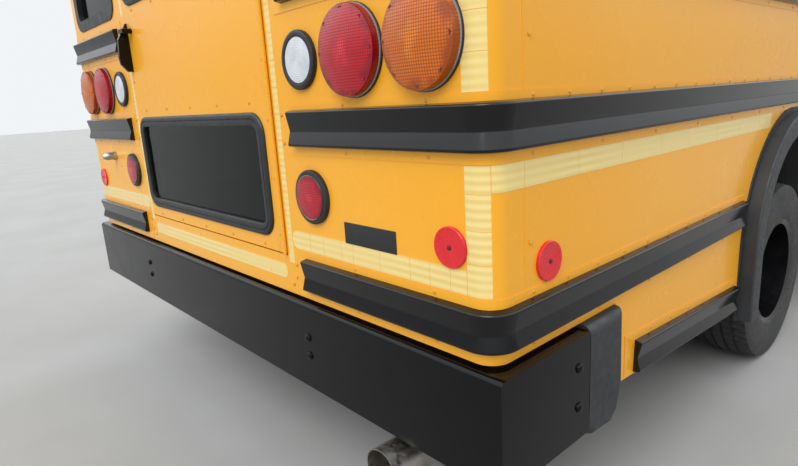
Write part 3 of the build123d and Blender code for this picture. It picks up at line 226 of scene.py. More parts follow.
def lined_enamel():
    """Yellow enamel, and cream on faces deeper than half the wall that look inwards."""
    material, tree, place = blank("yellow_enamel_with_cream_lining")
    normal = place.node.outputs["Normal"]
    inwards = add(tree, "VectorMath", {0: CABIN_MIDDLE, 1: place}, operation="SUBTRACT")
    facing = add(tree, "VectorMath", {0: inwards, 1: normal}, operation="DOT_PRODUCT").outputs["Value"]
    axes = add(tree, "SeparateXYZ", {"Vector": place}).outputs
    aside = add(tree, "Math", {0: axes["Y"]}, operation="ABSOLUTE")
    inside = 1.0
    for measure, limit, test in ((facing, 0.0, "GREATER_THAN"), (aside, HALF - WALL / 2, "LESS_THAN"),
                                 (axes["X"], at(WALL / 2), "GREATER_THAN")):
        passed = add(tree, "Math", {0: measure, 1: limit}, operation=test)
        inside = add(tree, "Math", {0: inside, 1: passed}, operation="MULTIPLY")
    yellow = drifting(tree, add(tree, "TexNoise", cloudy(place, YELLOW_DRIFT)), *YELLOW_CHIPS)
    colour = add(tree, "MixRGB", {"Fac": inside, "Color1": yellow, "Color2": CREAM_CHIP})
    smears = add(tree, "TexNoise", cloudy(place, YELLOW_DRIFT / 5, 5.0))
    peel = add(tree, "TexNoise", cloudy(place, YELLOW_PEEL[0], 2.0))
    close(tree, colour, add(tree, "MapRange", between(smears, *YELLOW_GLOSS)),
          raised(peel, YELLOW_PEEL[1]), YELLOW_SHINE)
    return material


panel_enamel = lined_enamel()

# %% [markdown]
# Bare metals show how they were made: the sashes are anodised extrusions, the exhaust is
# aluminised tube that hot gas has stained, the radiator and screws are plain bright metal.

# %% Metals
anodised_black = coated("black_anodised_aluminium", ("#1C1D1F", "#25262A"), 300, (0.38, 0.5),
                        (1.5, 0.01), {"Metallic": 0.4})
bare_steel = coated("aluminised_steel", ("#8F8A84", "#B5B0A9"), 60, (0.3, 0.5), (4, 0.03),
                    {"Metallic": 1.0})
zinc_plate = coated("zinc_plated_steel", ("#A9A9A4", "#BEBEBA"), 12, (0.25, 0.42), (1.2, 0.02),
                    {"Metallic": 1.0})
cast_iron = coated("sand_cast_iron", ("#3B3A39", "#4B4846"), 50, (0.6, 0.8), (2.5, 0.3), {"Metallic": 0.6})
finned_alloy = coated("finned_alloy", ("#6F7274", "#85888A"), 80, (0.4, 0.6), (2, 0.4), {"Metallic": 0.9})
mirror_silver = coated("silvered_mirror_glass", ("#DDE0E2", "#E2E5E7"), 500, (0.02, 0.04),
                       (60, 0.001), {"Metallic": 1.0})

# %% [markdown]
# Rubber and moulded plastic are matt, because their moulds are grained. The bumper's end
# pieces and the flares are grey where the weather has chalked them.

# %% Rubber and plastic
weathered_rubber = coated("weathered_epdm_rubber", ("#202225", "#2A2C2F"), 90, (0.48, 0.66), (1.6, 0.05))
seal_rubber = coated("extruded_seal_rubber", ("#1C1D1F", "#26282B"), 60, (0.36, 0.5), (1.2, 0.03),
                     glossy(0.4))
gasket_foam = coated("grey_gasket_foam", ("#83868A", "#95989B"), 40, (0.6, 0.8), (1.0, 0.03))
screw_well = coated("dark_screw_well", ("#4A150F", "#5A2012"), 20, (0.3, 0.5), (2, 0.02))
tyre_rubber = coated("tread_rubber", ("#242526", "#323130"), 70, (0.62, 0.82), (1.1, 0.10))
dash_plastic = coated("grained_abs", ("#2B2C2E", "#323335"), 200, (0.5, 0.6), (1.4, 0.08))
white_plastic = coated("white_moulded_abs", ("#E4E3DC", "#ECEBE5"), 300, (0.38, 0.5), (3, 0.03))
black_plastic = coated("black_moulded_abs", ("#17181A", "#1F2022"), 200, (0.42, 0.55), (1.6, 0.04))

# %% [markdown]
# The aisle and steps are covered with rubber that has fine ribs along the bus, 8 mm apart,
# so that wet shoes don't slip. A wave pattern across Y gives the ribs.

# %% Ribbed floor
RIB_PITCH = 8 * MILLIMETRE
BANDS_PER_UNIT = 20 / (2 * pi)          # a wave texture's bands in one unit at scale 1


def ribbed_rubber():
    """Dark floor covering with ribs along X every 8 mm."""
    material, tree, place = blank("ribbed_floor_rubber")
    ribs = add(tree, "TexWave", {"Vector": place, "Scale": 1 / RIB_PITCH / BANDS_PER_UNIT},
               wave_type="BANDS", bands_direction="Y").outputs["Fac"]
    scuffs = add(tree, "TexNoise", cloudy(place, 180, 6.0))
    close(tree, drifting(tree, scuffs, "#2A2B2C", "#3A3A39"),
          add(tree, "MapRange", between(scuffs, 0.45, 0.7)), raised(ribs, 1.2), {})
    return material


floor_rubber = ribbed_rubber()

# %% [markdown]
# Bench covers are fire-retardant vinyl with an embossed leather grain. A Voronoi pattern
# 2.5 mm across gives the small cushions of the grain, and a slow noise of wear varies the
# colour and gloss.

# %% Vinyl
PEBBLE = 2.5 * MILLIMETRE


def grained_vinyl():
    """Blue-grey vinyl with a pebbled leather grain."""
    material, tree, place = blank("blue_upholstery_vinyl")
    pebbles = add(tree, "TexVoronoi", {"Vector": place, "Scale": 1 / PEBBLE}, feature="SMOOTH_F1")
    wear = add(tree, "TexNoise", cloudy(place, 160, 5.0))
    close(tree, drifting(tree, wear, "#2C3A55", "#35445F"),
          add(tree, "MapRange", between(wear, 0.42, 0.58)), raised(pebbles, 0.25),
          glossy(coat=0.15, coat_roughness=0.3))
    return material


vinyl = grained_vinyl()

# %% [markdown]
# A school bus has dark-tinted safety glass, and clear glass in front of the driver. A pane
# is thin and bends no light, so its tint covers a share of what is behind it, and the rest
# is seen straight through. Daylight gets in the same way. Wiping leaves faint smears. The
# reflection is kept weak, because the real panes look nearly black.

# %% Glass
DARK_COVER, CLEAR_COVER = 0.76, 0.30
CLEAR_FROM, CLEAR_BLEND = 5.25, 0.02    # station where the windshield starts


def safety_glass(name, chip, smear, cover, clear_ahead=False):
    """Thin pane whose tint stops a share cover of the light. With clear_ahead the cover
    falls to that of clear glass where the windshield starts."""
    material, tree, place = blank(name)
    smears = add(tree, "TexNoise", cloudy(place, 220, 5.0))
    if clear_ahead:
        station = add(tree, "SeparateXYZ", {"Vector": place}).outputs["X"]
        cover = add(tree, "MapRange", {
            "Value": station, "From Min": at(CLEAR_FROM), "From Max": at(CLEAR_FROM + CLEAR_BLEND),
            "To Min": cover, "To Max": CLEAR_COVER})
    close(tree, chip, add(tree, "MapRange", between(smears, 0.02, smear)), None,
          {"Alpha": cover, "Specular IOR Level": 0.22})
    return material


dark_glass = safety_glass("dark_tinted_glass", "#050706", 0.05, DARK_COVER)
body_glass = safety_glass("body_safety_glass", "#050706", 0.05, DARK_COVER, clear_ahead=True)
cab_glass = safety_glass("clear_cab_glass", "#141A17", 0.04, CLEAR_COVER)

# %% [markdown]
# Reflective tape is a honeycomb of prisms under a clear film. From the side it looks a
# pale yellow, split into printed blocks. The honeycomb is 4 mm wide and shows as a faint
# cell pattern. Its colour has paler level stripes, a painted reflection of the sky in the
# prisms.

# %% Reflective tape
PRISM_CELL, SHEEN_STRIPE_PITCH = 4 * MILLIMETRE, 16.5 * MILLIMETRE


def prismatic_tape():
    """Pale yellow film with a honeycomb of prisms and soft level stripes of painted
    reflection: the sine of the height, strong where a slow noise is high, moves the colour
    from its middle."""
    material, tree, place = blank("prismatic_reflective_tape")
    cells = add(tree, "TexVoronoi", {"Vector": place, "Scale": 1 / PRISM_CELL}, feature="DISTANCE_TO_EDGE")
    height = add(tree, "SeparateXYZ", {"Vector": place}).outputs["Z"]
    # The level stripes are a painted reflection: the sine of the height lightens the colour in bands.
    turn = add(tree, "Math", {0: height, 1: 2 * pi / SHEEN_STRIPE_PITCH}, operation="MULTIPLY")
    sheen_stripe = add(tree, "Math", {0: turn}, operation="SINE")
    sheen_patches = add(tree, "MapRange", between(add(tree, "TexNoise", cloudy(place, 260, 1.0)), 0.0, 0.3))
    shine = add(tree, "Math", {0: sheen_stripe, 1: sheen_patches}, operation="MULTIPLY")
    factor = add(tree, "Math", {0: shine, 1: 0.45}, operation="ADD")
    colour = add(tree, "MixRGB", {"Fac": factor, "Color1": "#E6C56C", "Color2": "#F9E49C"}, use_clamp=True)
    close(tree, colour, 0.35, raised(cells, 0.05), glossy(coat=0.3, coat_roughness=0.12))
    return material


tape_film = prismatic_tape()

# %% [markdown]
# A signal lens is moulded polycarbonate. Its inside is cut into little pillows, 5.8 mm
# square, that spread the bulb's light. The lens is unlit, so its colour carries a painted
# highlight in the middle, as if from the bowl behind it, and painted shade at the rim and
# at the pillows' edges. The distance from the lens's own middle comes as an attribute on
# its mesh.

# %% Signal lenses
PILLOW = 5.8 * MILLIMETRE
MIDDLE_RING = (0.35, 0.8)               # shares of the radius that have the middle colour


def signal_lens(name, painted_shade_chip, middle_chip, painted_highlight_chip):
    """Coloured lens with a painted highlight in its middle and painted shade at its rim, from
    the attribute reach. A pillow's height is the smaller of the sizes of the sines of Y and
    Z, and the painted shade fills its edge."""
    material, tree, place = blank(name)
    axes = add(tree, "SeparateXYZ", {"Vector": place}).outputs
    waves = []
    for axis in ("Y", "Z"):
        turn = add(tree, "Math", {0: axes[axis], 1: pi / PILLOW}, operation="MULTIPLY")
        swing = add(tree, "Math", {0: turn}, operation="SINE")
        waves.append(add(tree, "Math", {0: swing}, operation="ABSOLUTE"))
    pillows = add(tree, "Math", {0: waves[0], 1: waves[1]}, operation="MINIMUM")
    blur = add(tree, "MapRange", between(add(tree, "TexNoise", cloudy(place, 35, 1.0)), -0.12, 0.12))
    reach = add(tree, "Attribute", attribute_name="reach").outputs["Fac"]
    # The colour runs from a painted highlight in the middle to painted shade at the rim.
    highlight_and_shade_ramp = add(tree, "ValToRGB", {"Fac": add(tree, "Math", {0: reach, 1: blur}, operation="ADD")})
    stops = highlight_and_shade_ramp.color_ramp.elements
    stops[0].color, stops[1].color = linear(painted_highlight_chip), linear(painted_shade_chip)
    for share in MIDDLE_RING:
        stops.new(share).color = linear(middle_chip)
    # The pillows' edges take the painted shade colour.
    colour = add(tree, "MixRGB", {"Fac": pillows, "Color1": painted_shade_chip, "Color2": highlight_and_shade_ramp})
    close(tree, colour, 0.24, raised(pillows, 0.35), glossy(0.3, 0.25, 0.04))
    return material


# Each lens's chips are its painted shade, its own colour and its painted highlight.
red_lens = signal_lens("red_polycarbonate_lens", "#86061A", "#CC1228", "#FF3A3E")
amber_lens = signal_lens("amber_polycarbonate_lens", "#9A4206", "#E07410", "#FFA030")
clear_lens = coated("clear_polycarbonate_lens", ("#C6CBD3", "#D6DAE0"), 30, (0.08, 0.2), (6, 0.05),
                    glossy(coat=0.4))
PRISM_SHINE = glossy(0.3, 0.2, 0.05)
reflector_red = coated("red_prismatic_reflector", ("#D8222A", "#DE282E"), 30, (0.2, 0.3), (2.2, 0.05),
                       PRISM_SHINE)
reflector_amber = coated("amber_prismatic_reflector", ("#E07A10", "#EC8A1C"), 30, (0.2, 0.3),
                         (2.2, 0.05), PRISM_SHINE)

# %% [markdown]
# Every node of the frame names the finish that it has in the parts list. Assigning to the
# node's own material slot leaves its mesh alone.

# %% Paint the frame
FINISHES = {
    "bus_yellow": yellow_enamel, "gloss_black": black_enamel, "sash_black": anodised_black,
    "black_rubber": weathered_rubber, "chassis_black": chassis_paint, "engine_iron": cast_iron,
    "radiator_alloy": finned_alloy, "exhaust_steel": bare_steel, "floor_rubber": floor_rubber,
    "tinted_glass": dark_glass, "red_lens": red_lens, "amber_lens": amber_lens,
    "clear_lens": clear_lens, "tyre_rubber": tyre_rubber, "wheel_black": wheel_enamel,
    "seat_vinyl": vinyl, "seat_steel": tube_enamel, "dash_plastic": dash_plastic,
    "sign_red": red_enamel, "arm_yellow": yellow_enamel, "hatch_white": white_plastic,
}
LINED_PANELS = ("left_wall", "right_wall", "rear_wall", "roof", "rear_door")
OWN_FINISH = {"driver_door_glass": cab_glass, "fixed_glass": body_glass, "rub_rails": rail_enamel,
              **dict.fromkeys(LINED_PANELS, panel_enamel)}
for part in frame["record"]["subparts"]:
    node = frame["nodes"][part["node"]]
    finish = OWN_FINISH.get(part["node"], FINISHES[part["material_slot"]])
    node.data.materials.clear()
    node.data.materials.append(finish)

# %% [markdown]
# The photograph was taken from close behind the right rear corner, at chest height and
# looking down a little, on a wide lens. The camera's place and turn were worked out from
# the body's level and upright edges, and its focal length from the same edges.

# %% Camera
FRAME_WIDTH = 798               # pixels
FOCAL_PIXELS = 570.82
SENSOR_WIDTH = 36               # millimetres
FARTHEST = 300
EYE = (at(-0.7612), -1.8108, 1.1400)
YAW, PITCH, ROLL = radians(48.49), radians(-13.29), radians(-3.46)


def put(name, data):
    """Object of a mesh, camera or light, linked to the scene."""
    made = bpy.data.objects.new(name, data)
    bpy.context.scene.collection.objects.link(made)
    return made


def aim(eye, yaw, pitch, roll):
    """Camera placing: yaw turns from +X to +Y, pitch lifts, roll turns about the view."""
    forward = np.array([cos(yaw) * cos(pitch), sin(yaw) * cos(pitch), sin(pitch)])
    level = np.array([sin(yaw), -cos(yaw), 0.0])
    upright = np.cross(level, forward)
    right = level * cos(roll) + upright * sin(roll)
    up = upright * cos(roll) - level * sin(roll)
    placing = np.eye(4)
    placing[:3] = np.stack([right, up, -forward, eye], -1)
    return Matrix(placing.tolist())


lens_data = bpy.data.cameras.new("photo_camera")
lens_data.sensor_width = SENSOR_WIDTH
lens_data.lens = FOCAL_PIXELS / FRAME_WIDTH * SENSOR_WIDTH
lens_data.clip_end = FARTHEST
camera = put("photo_camera", lens_data)
camera.matrix_world = aim(EYE, YAW, PITCH, ROLL)
bpy.context.scene.camera = camera
print("lens", round(lens_data.lens, 2), "mm")

# %% [markdown]
# The bus stands on a pale floor under a soft bright sky, as on an overcast day. The world
# is nearly white to the camera and as a light. In reflections it is dim at the horizon and
# bright overhead. One wide sun from behind the camera gives the shadows their direction.

# %% Floor
FLOOR_REACH = 60
FLOOR_CORNERS = ((-1, -1), (1, -1), (1, 1), (-1, 1))


def studio_floor():
    """Large level square, pale and matt."""
    mesh = bpy.data.meshes.new("studio_floor")
    corners = [(x * FLOOR_REACH, y * FLOOR_REACH, 0) for x, y in FLOOR_CORNERS]
    mesh.from_pydata(corners, [], [(0, 1, 2, 3)])
    material, tree, place = blank("pale_concrete")
    stains = add(tree, "TexNoise", cloudy(place, 700, 6.0))
    grit = add(tree, "TexNoise", cloudy(place, 5))
    close(tree, drifting(tree, stains, "#ABABA8", "#B2B2B0"), 0.75, raised(grit, 0.4), {})
    mesh.materials.append(material)
    return put("studio_floor", mesh)


studio_floor()

# %% [markdown]
# The sky is what the paint mirrors. A map of the direction's height grades it, and the
# kind of ray tells a look at the sky from a mirrored one and from light on a surface.

# %% Sky
HAZE = (0.05, 0.45)             # heights between which reflections go from horizon to zenith


def studio_world(light, horizon, zenith, seen):
    """World whose strength is light for the bus's surfaces and seen for the camera,
    straight or through glass. Reflections find it dimmer at the horizon than at the zenith."""
    world = bpy.data.worlds.new("soft_sky")
    bpy.context.scene.world = world
    world.use_nodes = True
    tree = world.node_tree
    tree.nodes.clear()
    rays = add(tree, "LightPath").outputs
    direction = add(tree, "TexCoord").outputs["Generated"]
    height = add(tree, "SeparateXYZ", {"Vector": direction}).outputs["Z"]
    mirrored = add(tree, "MapRange", {"Value": height, "From Min": HAZE[0], "From Max": HAZE[1],
                                      "To Min": horizon, "To Max": zenith})
    indirect = add(tree, "MapRange", {"Value": rays["Is Glossy Ray"], "To Min": light, "To Max": mirrored})
    direct = add(tree, "Math", {0: rays["Is Camera Ray"], 1: rays["Is Transmission Ray"]},
                 operation="MAXIMUM")
    strength = add(tree, "MapRange", {"Value": direct, "To Min": indirect, "To Max": seen})
    sky = add(tree, "Background", {"Color": "#F1F4F7", "Strength": strength})
    add(tree, "OutputWorld", {"Surface": sky})
    print("sky", world.name)


studio_world(light=1.0, horizon=0.5, zenith=2.4, seen=1.0)

# %% [markdown]
# A sun 35 degrees wide gives the soft shadows of thin cloud.

# %% Sun
SUN_PLACE, SUN_ENERGY, SUN_WIDTH = (-7.0, -3.2, 8.0), 1.5, radians(35)
sun_data = bpy.data.lights.new("soft_sun", "SUN")
sun_data.energy = SUN_ENERGY
sun_data.angle = SUN_WIDTH
put("soft_sun", sun_data).rotation_euler = Vector(SUN_PLACE).to_track_quat("Z", "Y").to_euler()
bpy.context.scene.view_settings.view_transform = "Standard"
print("sun's width", round(sun_data.angle, 3))

# %% [markdown]
# New pieces are surfaces worked out as arrays: a profile carried along a path, a profile
# turned about an axis, or a grid wrapped on a box. Each gives points and faces of a grid.

# %% Shapes from arrays
SEAM = 1e-5                     # points closer than this are one point


def quads(rows, columns, wrap_rows=False, wrap_columns=True):
    """Quads of a grid of points that is counted row by row."""
    row = np.arange(rows if wrap_rows else rows - 1)[:, None]
    column = np.arange(columns if wrap_columns else columns - 1)[None, :]
    next_row, next_column = (row + 1) % rows, (column + 1) % columns
    corners = (row * columns + column, row * columns + next_column,
               next_row * columns + next_column, next_row * columns + column)
    return np.stack(np.broadcast_arrays(*corners), -1).reshape(-1, 4)


def swept(profile, path, out, up, loop=False):
    """Closed profile carried along a path: each point is the path point plus its first
    number times the outward direction plus its second times the upward one."""
    profile = np.asarray(profile, float)
    points = path[:, None] + profile[:, :1] * out[:, None] + profile[:, 1:] * up[:, None]
    rows, columns = points.shape[:2]
    faces = [quads(rows, columns, wrap_rows=loop)]
    if not loop:
        end = np.arange(columns)[None]
        faces += [end, end + (rows - 1) * columns]
    return points.reshape(-1, 3), faces


print("faces on a tube of 4 rings and 6 sides", len(quads(4, 6)))

# %% [markdown]
# Lamps, bolts and nuts are turned. A small shape that is repeated, such as a rivet head, is
# drawn once about the origin and stamped at all its places in one array.

# %% Turned and stamped shapes
STEEP = 0.9                     # an axis that rises more than this is not crossed with up


def unit(vectors):
    """Rows made one long."""
    return vectors / np.linalg.norm(vectors, axis=1, keepdims=True)


def off_axis(axes):
    """For each axis a direction that is not along it: up, or forwards for a steep axis."""
    return np.where(np.abs(axes[:, 2:]) < STEEP, UP, FORWARD)


def turned(profile, centre=(0, 0, 0), axis=UP, sides=24):
    """Profile of (radius, height) points turned about an axis through the centre: a point
    is the centre plus height times the axis plus radius times a direction round it."""
    profile = np.asarray(profile, float)
    axis = np.asarray(axis, float) / np.linalg.norm(axis)
    across = np.cross(axis, off_axis(axis[None])[0])
    across /= np.linalg.norm(across)
    angle = np.linspace(0, 2 * pi, sides, endpoint=False)[:, None]
    round_it = np.cos(angle) * across + np.sin(angle) * np.cross(axis, across)
    points = np.asarray(centre) + profile[:, 1][:, None, None] * axis
    points = points + profile[:, 0][:, None, None] * round_it
    return points.reshape(-1, 3), [quads(len(profile), sides)]


def ring(profile, centre, axis, sides=48):
    """Closed profile turned about an axis, with no middle."""
    return turned(profile, centre, axis, sides)[0], [quads(len(profile), sides, wrap_rows=True)]


def stamped(shape, places, axes):
    """One small shape, drawn about the origin with its axis along Z, repeated at places
    with its axis along the given directions."""
    points, faces = shape
    places = np.asarray(places, float)
    axes = np.broadcast_to(np.asarray(axes, float), places.shape)
    across = unit(np.cross(axes, off_axis(axes)))
    frames = np.stack([across, np.cross(axes, across), axes], 1)
    spread = places[:, None] + np.einsum("pk,nkj->npj", points, frames)
    starts = np.arange(len(places))[:, None, None] * len(points)
    return spread.reshape(-1, 3), [(face + starts).reshape(-1, face.shape[1]) for face in faces]


print("points on a turned disc", len(turned([(1, 0), (1, 1)])[0]))

# %% [markdown]
# Plates and covers are boxes with rounded edges. A grid on the box is moved onto its
# rounded form, which keeps the faces even and four-sided.

# %% Rounded boxes


def wrapped_box(half, radius, lines, middle=(0, 0, 0)):
    """Six grids on a box, moved onto its rounded form: each point goes to the nearest
    point of the box shrunk by the radius, and then outwards by the radius. lines holds
    the grid's places along X, Y and Z, from -1 to 1."""
    half = np.asarray(half, float)
    points, faces, start = [], [], 0
    for axis in range(3):
        first, second = (axis + 1) % 3, (axis + 2) % 3
        u, v = lines[first] * half[first], lines[second] * half[second]
        for end in (-1, 1):
            grid = np.zeros((len(u), len(v), 3))
            grid[..., axis] = end * half[axis]
            grid[..., first], grid[..., second] = u[:, None], v[None, :]
            points.append(grid.reshape(-1, 3))
            faces.append(quads(len(u), len(v), wrap_columns=False) + start)
            start += len(u) * len(v)
    points = np.concatenate(points)
    core = np.clip(points, radius - half, half - radius)
    away = points - core
    away /= np.maximum(np.linalg.norm(away, axis=1, keepdims=True), 1e-9)
    return core + radius * away + np.asarray(middle), faces


def rounded_box(low, high, radius, steps=2):
    """Box between two corners with rounded edges: its grid lines stand only at the edges,
    where equal steps of angle give their places."""
    low, high = np.asarray(low, float), np.asarray(high, float)
    half = (high - low) / 2
    radius = min(radius, *half * 0.999)
    bend = np.tan(np.linspace(0, pi / 4, steps + 1)) * radius
    lines = [np.concatenate([-(h - radius + bend)[::-1], h - radius + bend]) / h for h in half]
    return wrapped_box(half, radius, lines, (low + high) / 2)


print("points on a rounded box", len(rounded_box((0, 0, 0), (1, 1, 1), 0.1)[0]))

# %% [markdown]
# A piece is one mesh with one finish. Its faces are turned outwards once its seams are
# closed, and edges sharper than a limit stay crisp while the rest is shaded smooth.

# %% Pieces from shapes


def face_outwards(mesh, merge=None):
    """Turn all faces outwards, after points closer than merge are made one."""
    work = bmesh.new()
    work.from_mesh(mesh)
    if merge:
        bmesh.ops.remove_doubles(work, verts=work.verts, dist=merge)
    bmesh.ops.recalc_face_normals(work, faces=work.faces)
    work.to_mesh(mesh)
    work.free()


def build(name, shapes, body, finish, replaces=(), sharp=32, reach=None):
    """Join shapes into one mesh that rides on a body. Edges over sharp degrees stay crisp.
    reach gives each point's distance from its lens's middle, as a share of its radius."""
    points = np.concatenate([shape[0] for shape in shapes])
    faces, start = [], 0
    for shape_points, shape_faces in shapes:
        for block in shape_faces:
            faces.extend((block + start).tolist())
        start += len(shape_points)
    mesh = bpy.data.meshes.new(name)
    mesh.from_pydata(points.tolist(), [], faces)
    if reach is not None:
        mesh.attributes.new("reach", "FLOAT", "POINT").data.foreach_set("value", reach)
    face_outwards(mesh, merge=SEAM)
    mesh.shade_smooth()
    mesh.set_sharp_from_angle(angle=radians(sharp))
    mesh.materials.append(finish)
    made = put(name, mesh)
    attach(made, body)
    if replaces:
        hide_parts(*replaces)
    print(name, "faces", len(mesh.polygons))
    return made


# %% [markdown]
# Tape, flanges and rivets all follow the skin, across the rear and round each corner. So
# a place on the skin is given by its side and by the distance round from the rear's
# middle: flat, then a quarter circle, then straight forward.

# %% The way round the skin
FLAT_REAR = HALF - CORNER
BEND = CORNER * pi / 2
SUNK = 0.0005                   # how far the back of a strip lies under the skin


def skin(side, distance):
    """Point at Z = 0 and outward normal: the angle turned in the corner is the distance
    past the flat, divided by the radius, held between nothing and a right angle."""
    distance = np.asarray(distance, float)
    turn = np.clip((distance - FLAT_REAR) / CORNER, 0, pi / 2)
    x = REAR_SKIN + CORNER * (1 - np.cos(turn)) + np.maximum(distance - FLAT_REAR - BEND, 0)
    y = side * (np.minimum(distance, FLAT_REAR) + CORNER * np.sin(turn))
    normal = np.stack([-np.cos(turn), side * np.sin(turn), 0 * turn], -1)
    return np.stack([x, y, 0 * x], -1), normal


def ahead(station):
    """Distance round the skin of a station on the side wall."""
    return FLAT_REAR + BEND + station - CORNER


def course(start, end):
    """Distances from start to end, with close steps round the corner."""
    bend = FLAT_REAR + BEND * np.linspace(0, 1, 9)
    inside = bend[(bend > start + 1e-4) & (bend < end - 1e-4)]
    return np.concatenate([[start], inside, [end]])


def strip(path, normal, low, high, proud):
    """Flat strip along a path on the skin, between two heights over the path."""
    profile = ((-SUNK, low), (proud, low), (proud, high), (-SUNK, high))
    return swept(profile, path, normal, np.broadcast_to(UP, path.shape))


def band(side, start, end, low, high, proud):
    """Thin strip on the skin between two distances and two heights."""
    return strip(*skin(side, course(start, end)), low, high, proud)


def on_skin(side, distances, heights, lift):
    """Places and normals of points on the skin."""
    path, normal = skin(side, distances)
    return path + normal * lift + UP * np.asarray(heights, float)[..., None], normal


print("from the rear's middle round the corner", round(FLAT_REAR + BEND, 4))

# %% [markdown]
# Each rub rail is a rolled section screwed on through the panel joints. Its yellow flange
# shows as a strip above and below the black ridges, and stands 1.8 mm proud of the skin.

# %% Rail flanges
FLANGE_PROUD = 0.0018
FLANGES = (                     # low edge, high edge, inner end at the rear, side end station
    (1.350, 1.480, 0.548, ROOF_END - 0.01),
    (1.018, 1.142, 0.548, ROOF_END - 0.01),
    (0.645, 0.770, 0.548, 1.285),
)
REAR_ARCH_AHEAD, ENTRY_START = 2.430, 4.480
FRONT_FLANGES = ((0.645, 0.770), (0.368, 0.492))    # low and high edge, from arch to entry
SKIRT_PLATE = ((0.502, 0.427), (1.265, 0.3775))     # station and foot of its two ends
SKIRT_PLATE_HEIGHT = 0.112


def skirt_plate(side):
    """Sloping strip under the short rail: its foot runs straight between its two ends."""
    stations, feet = np.array(SKIRT_PLATE).T
    path, normal = skin(side, ahead(stations))
    return strip(path + UP * feet[:, None], normal, 0, SKIRT_PLATE_HEIGHT, FLANGE_PROUD)


flange_shapes = []
for side in BOTH:
    for low, high, inner, station in FLANGES:
        flange_shapes.append(band(side, inner, ahead(station), low, high, FLANGE_PROUD))
    for low, high in FRONT_FLANGES:
        start, end = ahead(REAR_ARCH_AHEAD), ahead(ENTRY_START)
        flange_shapes.append(band(side, start, end, low, high, FLANGE_PROUD))
    flange_shapes.append(skirt_plate(side))
build("rail_flanges", flange_shapes, "bus", yellow_enamel)

# %% [markdown]
# The body is riveted together. A rivet head is a low dome 9 mm across, and there are
# hundreds, so the dome has few faces and one array stamps it at every place at once. The
# pitches come from the photograph: 120 mm and 250 mm on the sides, 255 mm at the rear.

# %% Rivets
RIVET_RADIUS, RIVET_HEIGHT = 0.0045, 0.0022
RIVET_PROFILE = [(0, -0.0004), (RIVET_RADIUS, -0.0004), (RIVET_RADIUS * 0.9, RIVET_HEIGHT * 0.55),
                 (RIVET_RADIUS * 0.5, RIVET_HEIGHT * 0.93), (0, RIVET_HEIGHT)]
rivet_head = turned(RIVET_PROFILE, sides=8)
CLOSE_PITCH, WIDE_PITCH, REAR_PITCH = 0.1203, 0.250, 0.255
SIDE_ROWS = (                   # first station, last station, pitch, height, slope
    (0.120, 4.35, CLOSE_PITCH, 1.4705, 0), (0.120, 4.35, WIDE_PITCH, 1.3595, 0),
    (0.120, 4.35, CLOSE_PITCH, 1.1325, 0), (0.120, 4.35, WIDE_PITCH, 1.0275, 0),
    (0.120, 1.25, CLOSE_PITCH, 0.7610, 0), (0.120, 1.25, WIDE_PITCH, 0.6555, 0),
    (0.520, 1.26, CLOSE_PITCH, 0.5260, -0.0649), (2.47, 4.45, CLOSE_PITCH, 0.7610, 0),
    (2.47, 4.45, WIDE_PITCH, 0.6555, 0), (2.47, 4.45, CLOSE_PITCH, 0.4825, 0),
    (2.47, 4.45, WIDE_PITCH, 0.3790, 0), (0.13, 4.35, 0.115, 2.172, 0),
)
REAR_ROWS = (1.4705, 1.3595, 1.1325, 1.0275, 0.7610, 0.6555)
REAR_PLACES = 0.7935 + REAR_PITCH * np.arange(2)
SEAM_STATION, SEAM_RIVETS = 0.1115, (0.861, 1.235, 1.53, 1.66, 1.79, 1.92, 2.05)
RAIL_END_RIVETS = ((0.513, 0.667), (0.532, 0.690), (0.536, 0.725), (0.536, 1.045), (0.536, 1.115),
                   (0.536, 1.40))           # distance round the skin, height


def rivet_places():
    """Places and normals of every rivet on the walls: distance round the skin and height."""
    rows = []
    for first, last, pitch, height, slope in SIDE_ROWS:
        stations = np.arange(first, last, pitch)
        rows.append(np.stack([ahead(stations), height + slope * (stations - first)]))
    rows += [np.stack([REAR_PLACES, np.full(2, height)]) for height in REAR_ROWS]
    rows += [np.stack([np.full(len(SEAM_RIVETS), ahead(SEAM_STATION)), SEAM_RIVETS]),
             np.array(RAIL_END_RIVETS).T]
    distances, heights = np.concatenate(rows, axis=1)
    walls = [on_skin(side, distances, heights, FLANGE_PROUD * 0.9) for side in BOTH]
    return [np.concatenate(column) for column in zip(*walls)]


build("wall_rivets", [stamped(rivet_head, *rivet_places())], "bus", shaded_rivet_enamel)

# %% [markdown]
# The side panel laps over the corner panel 91 mm from the rear. A lap shows as one sheet
# edge that catches light, so a bead 1.5 mm wide stands for it.

# %% Sheet laps
LAP_PROUD, LAP_ENDS = 0.0010, (0.091, 0.0925)
LAP_HEIGHTS = ((0.772, 0.966), (1.143, 1.349), (1.481, 2.185))      # between the rails
lap_shapes = [band(side, *map(ahead, LAP_ENDS), low, high, LAP_PROUD)
              for side in BOTH for low, high in LAP_HEIGHTS]
build("sheet_laps", lap_shapes, "bus", yellow_enamel)

# %% [markdown]
# Reflective tape marks the body's outline. It comes in printed blocks, so each strip is a
# row of flat tiles with a 1 mm line between them. The inner ends are cut round. All of it
# is 0.7 mm thick, enough to catch an edge of light.

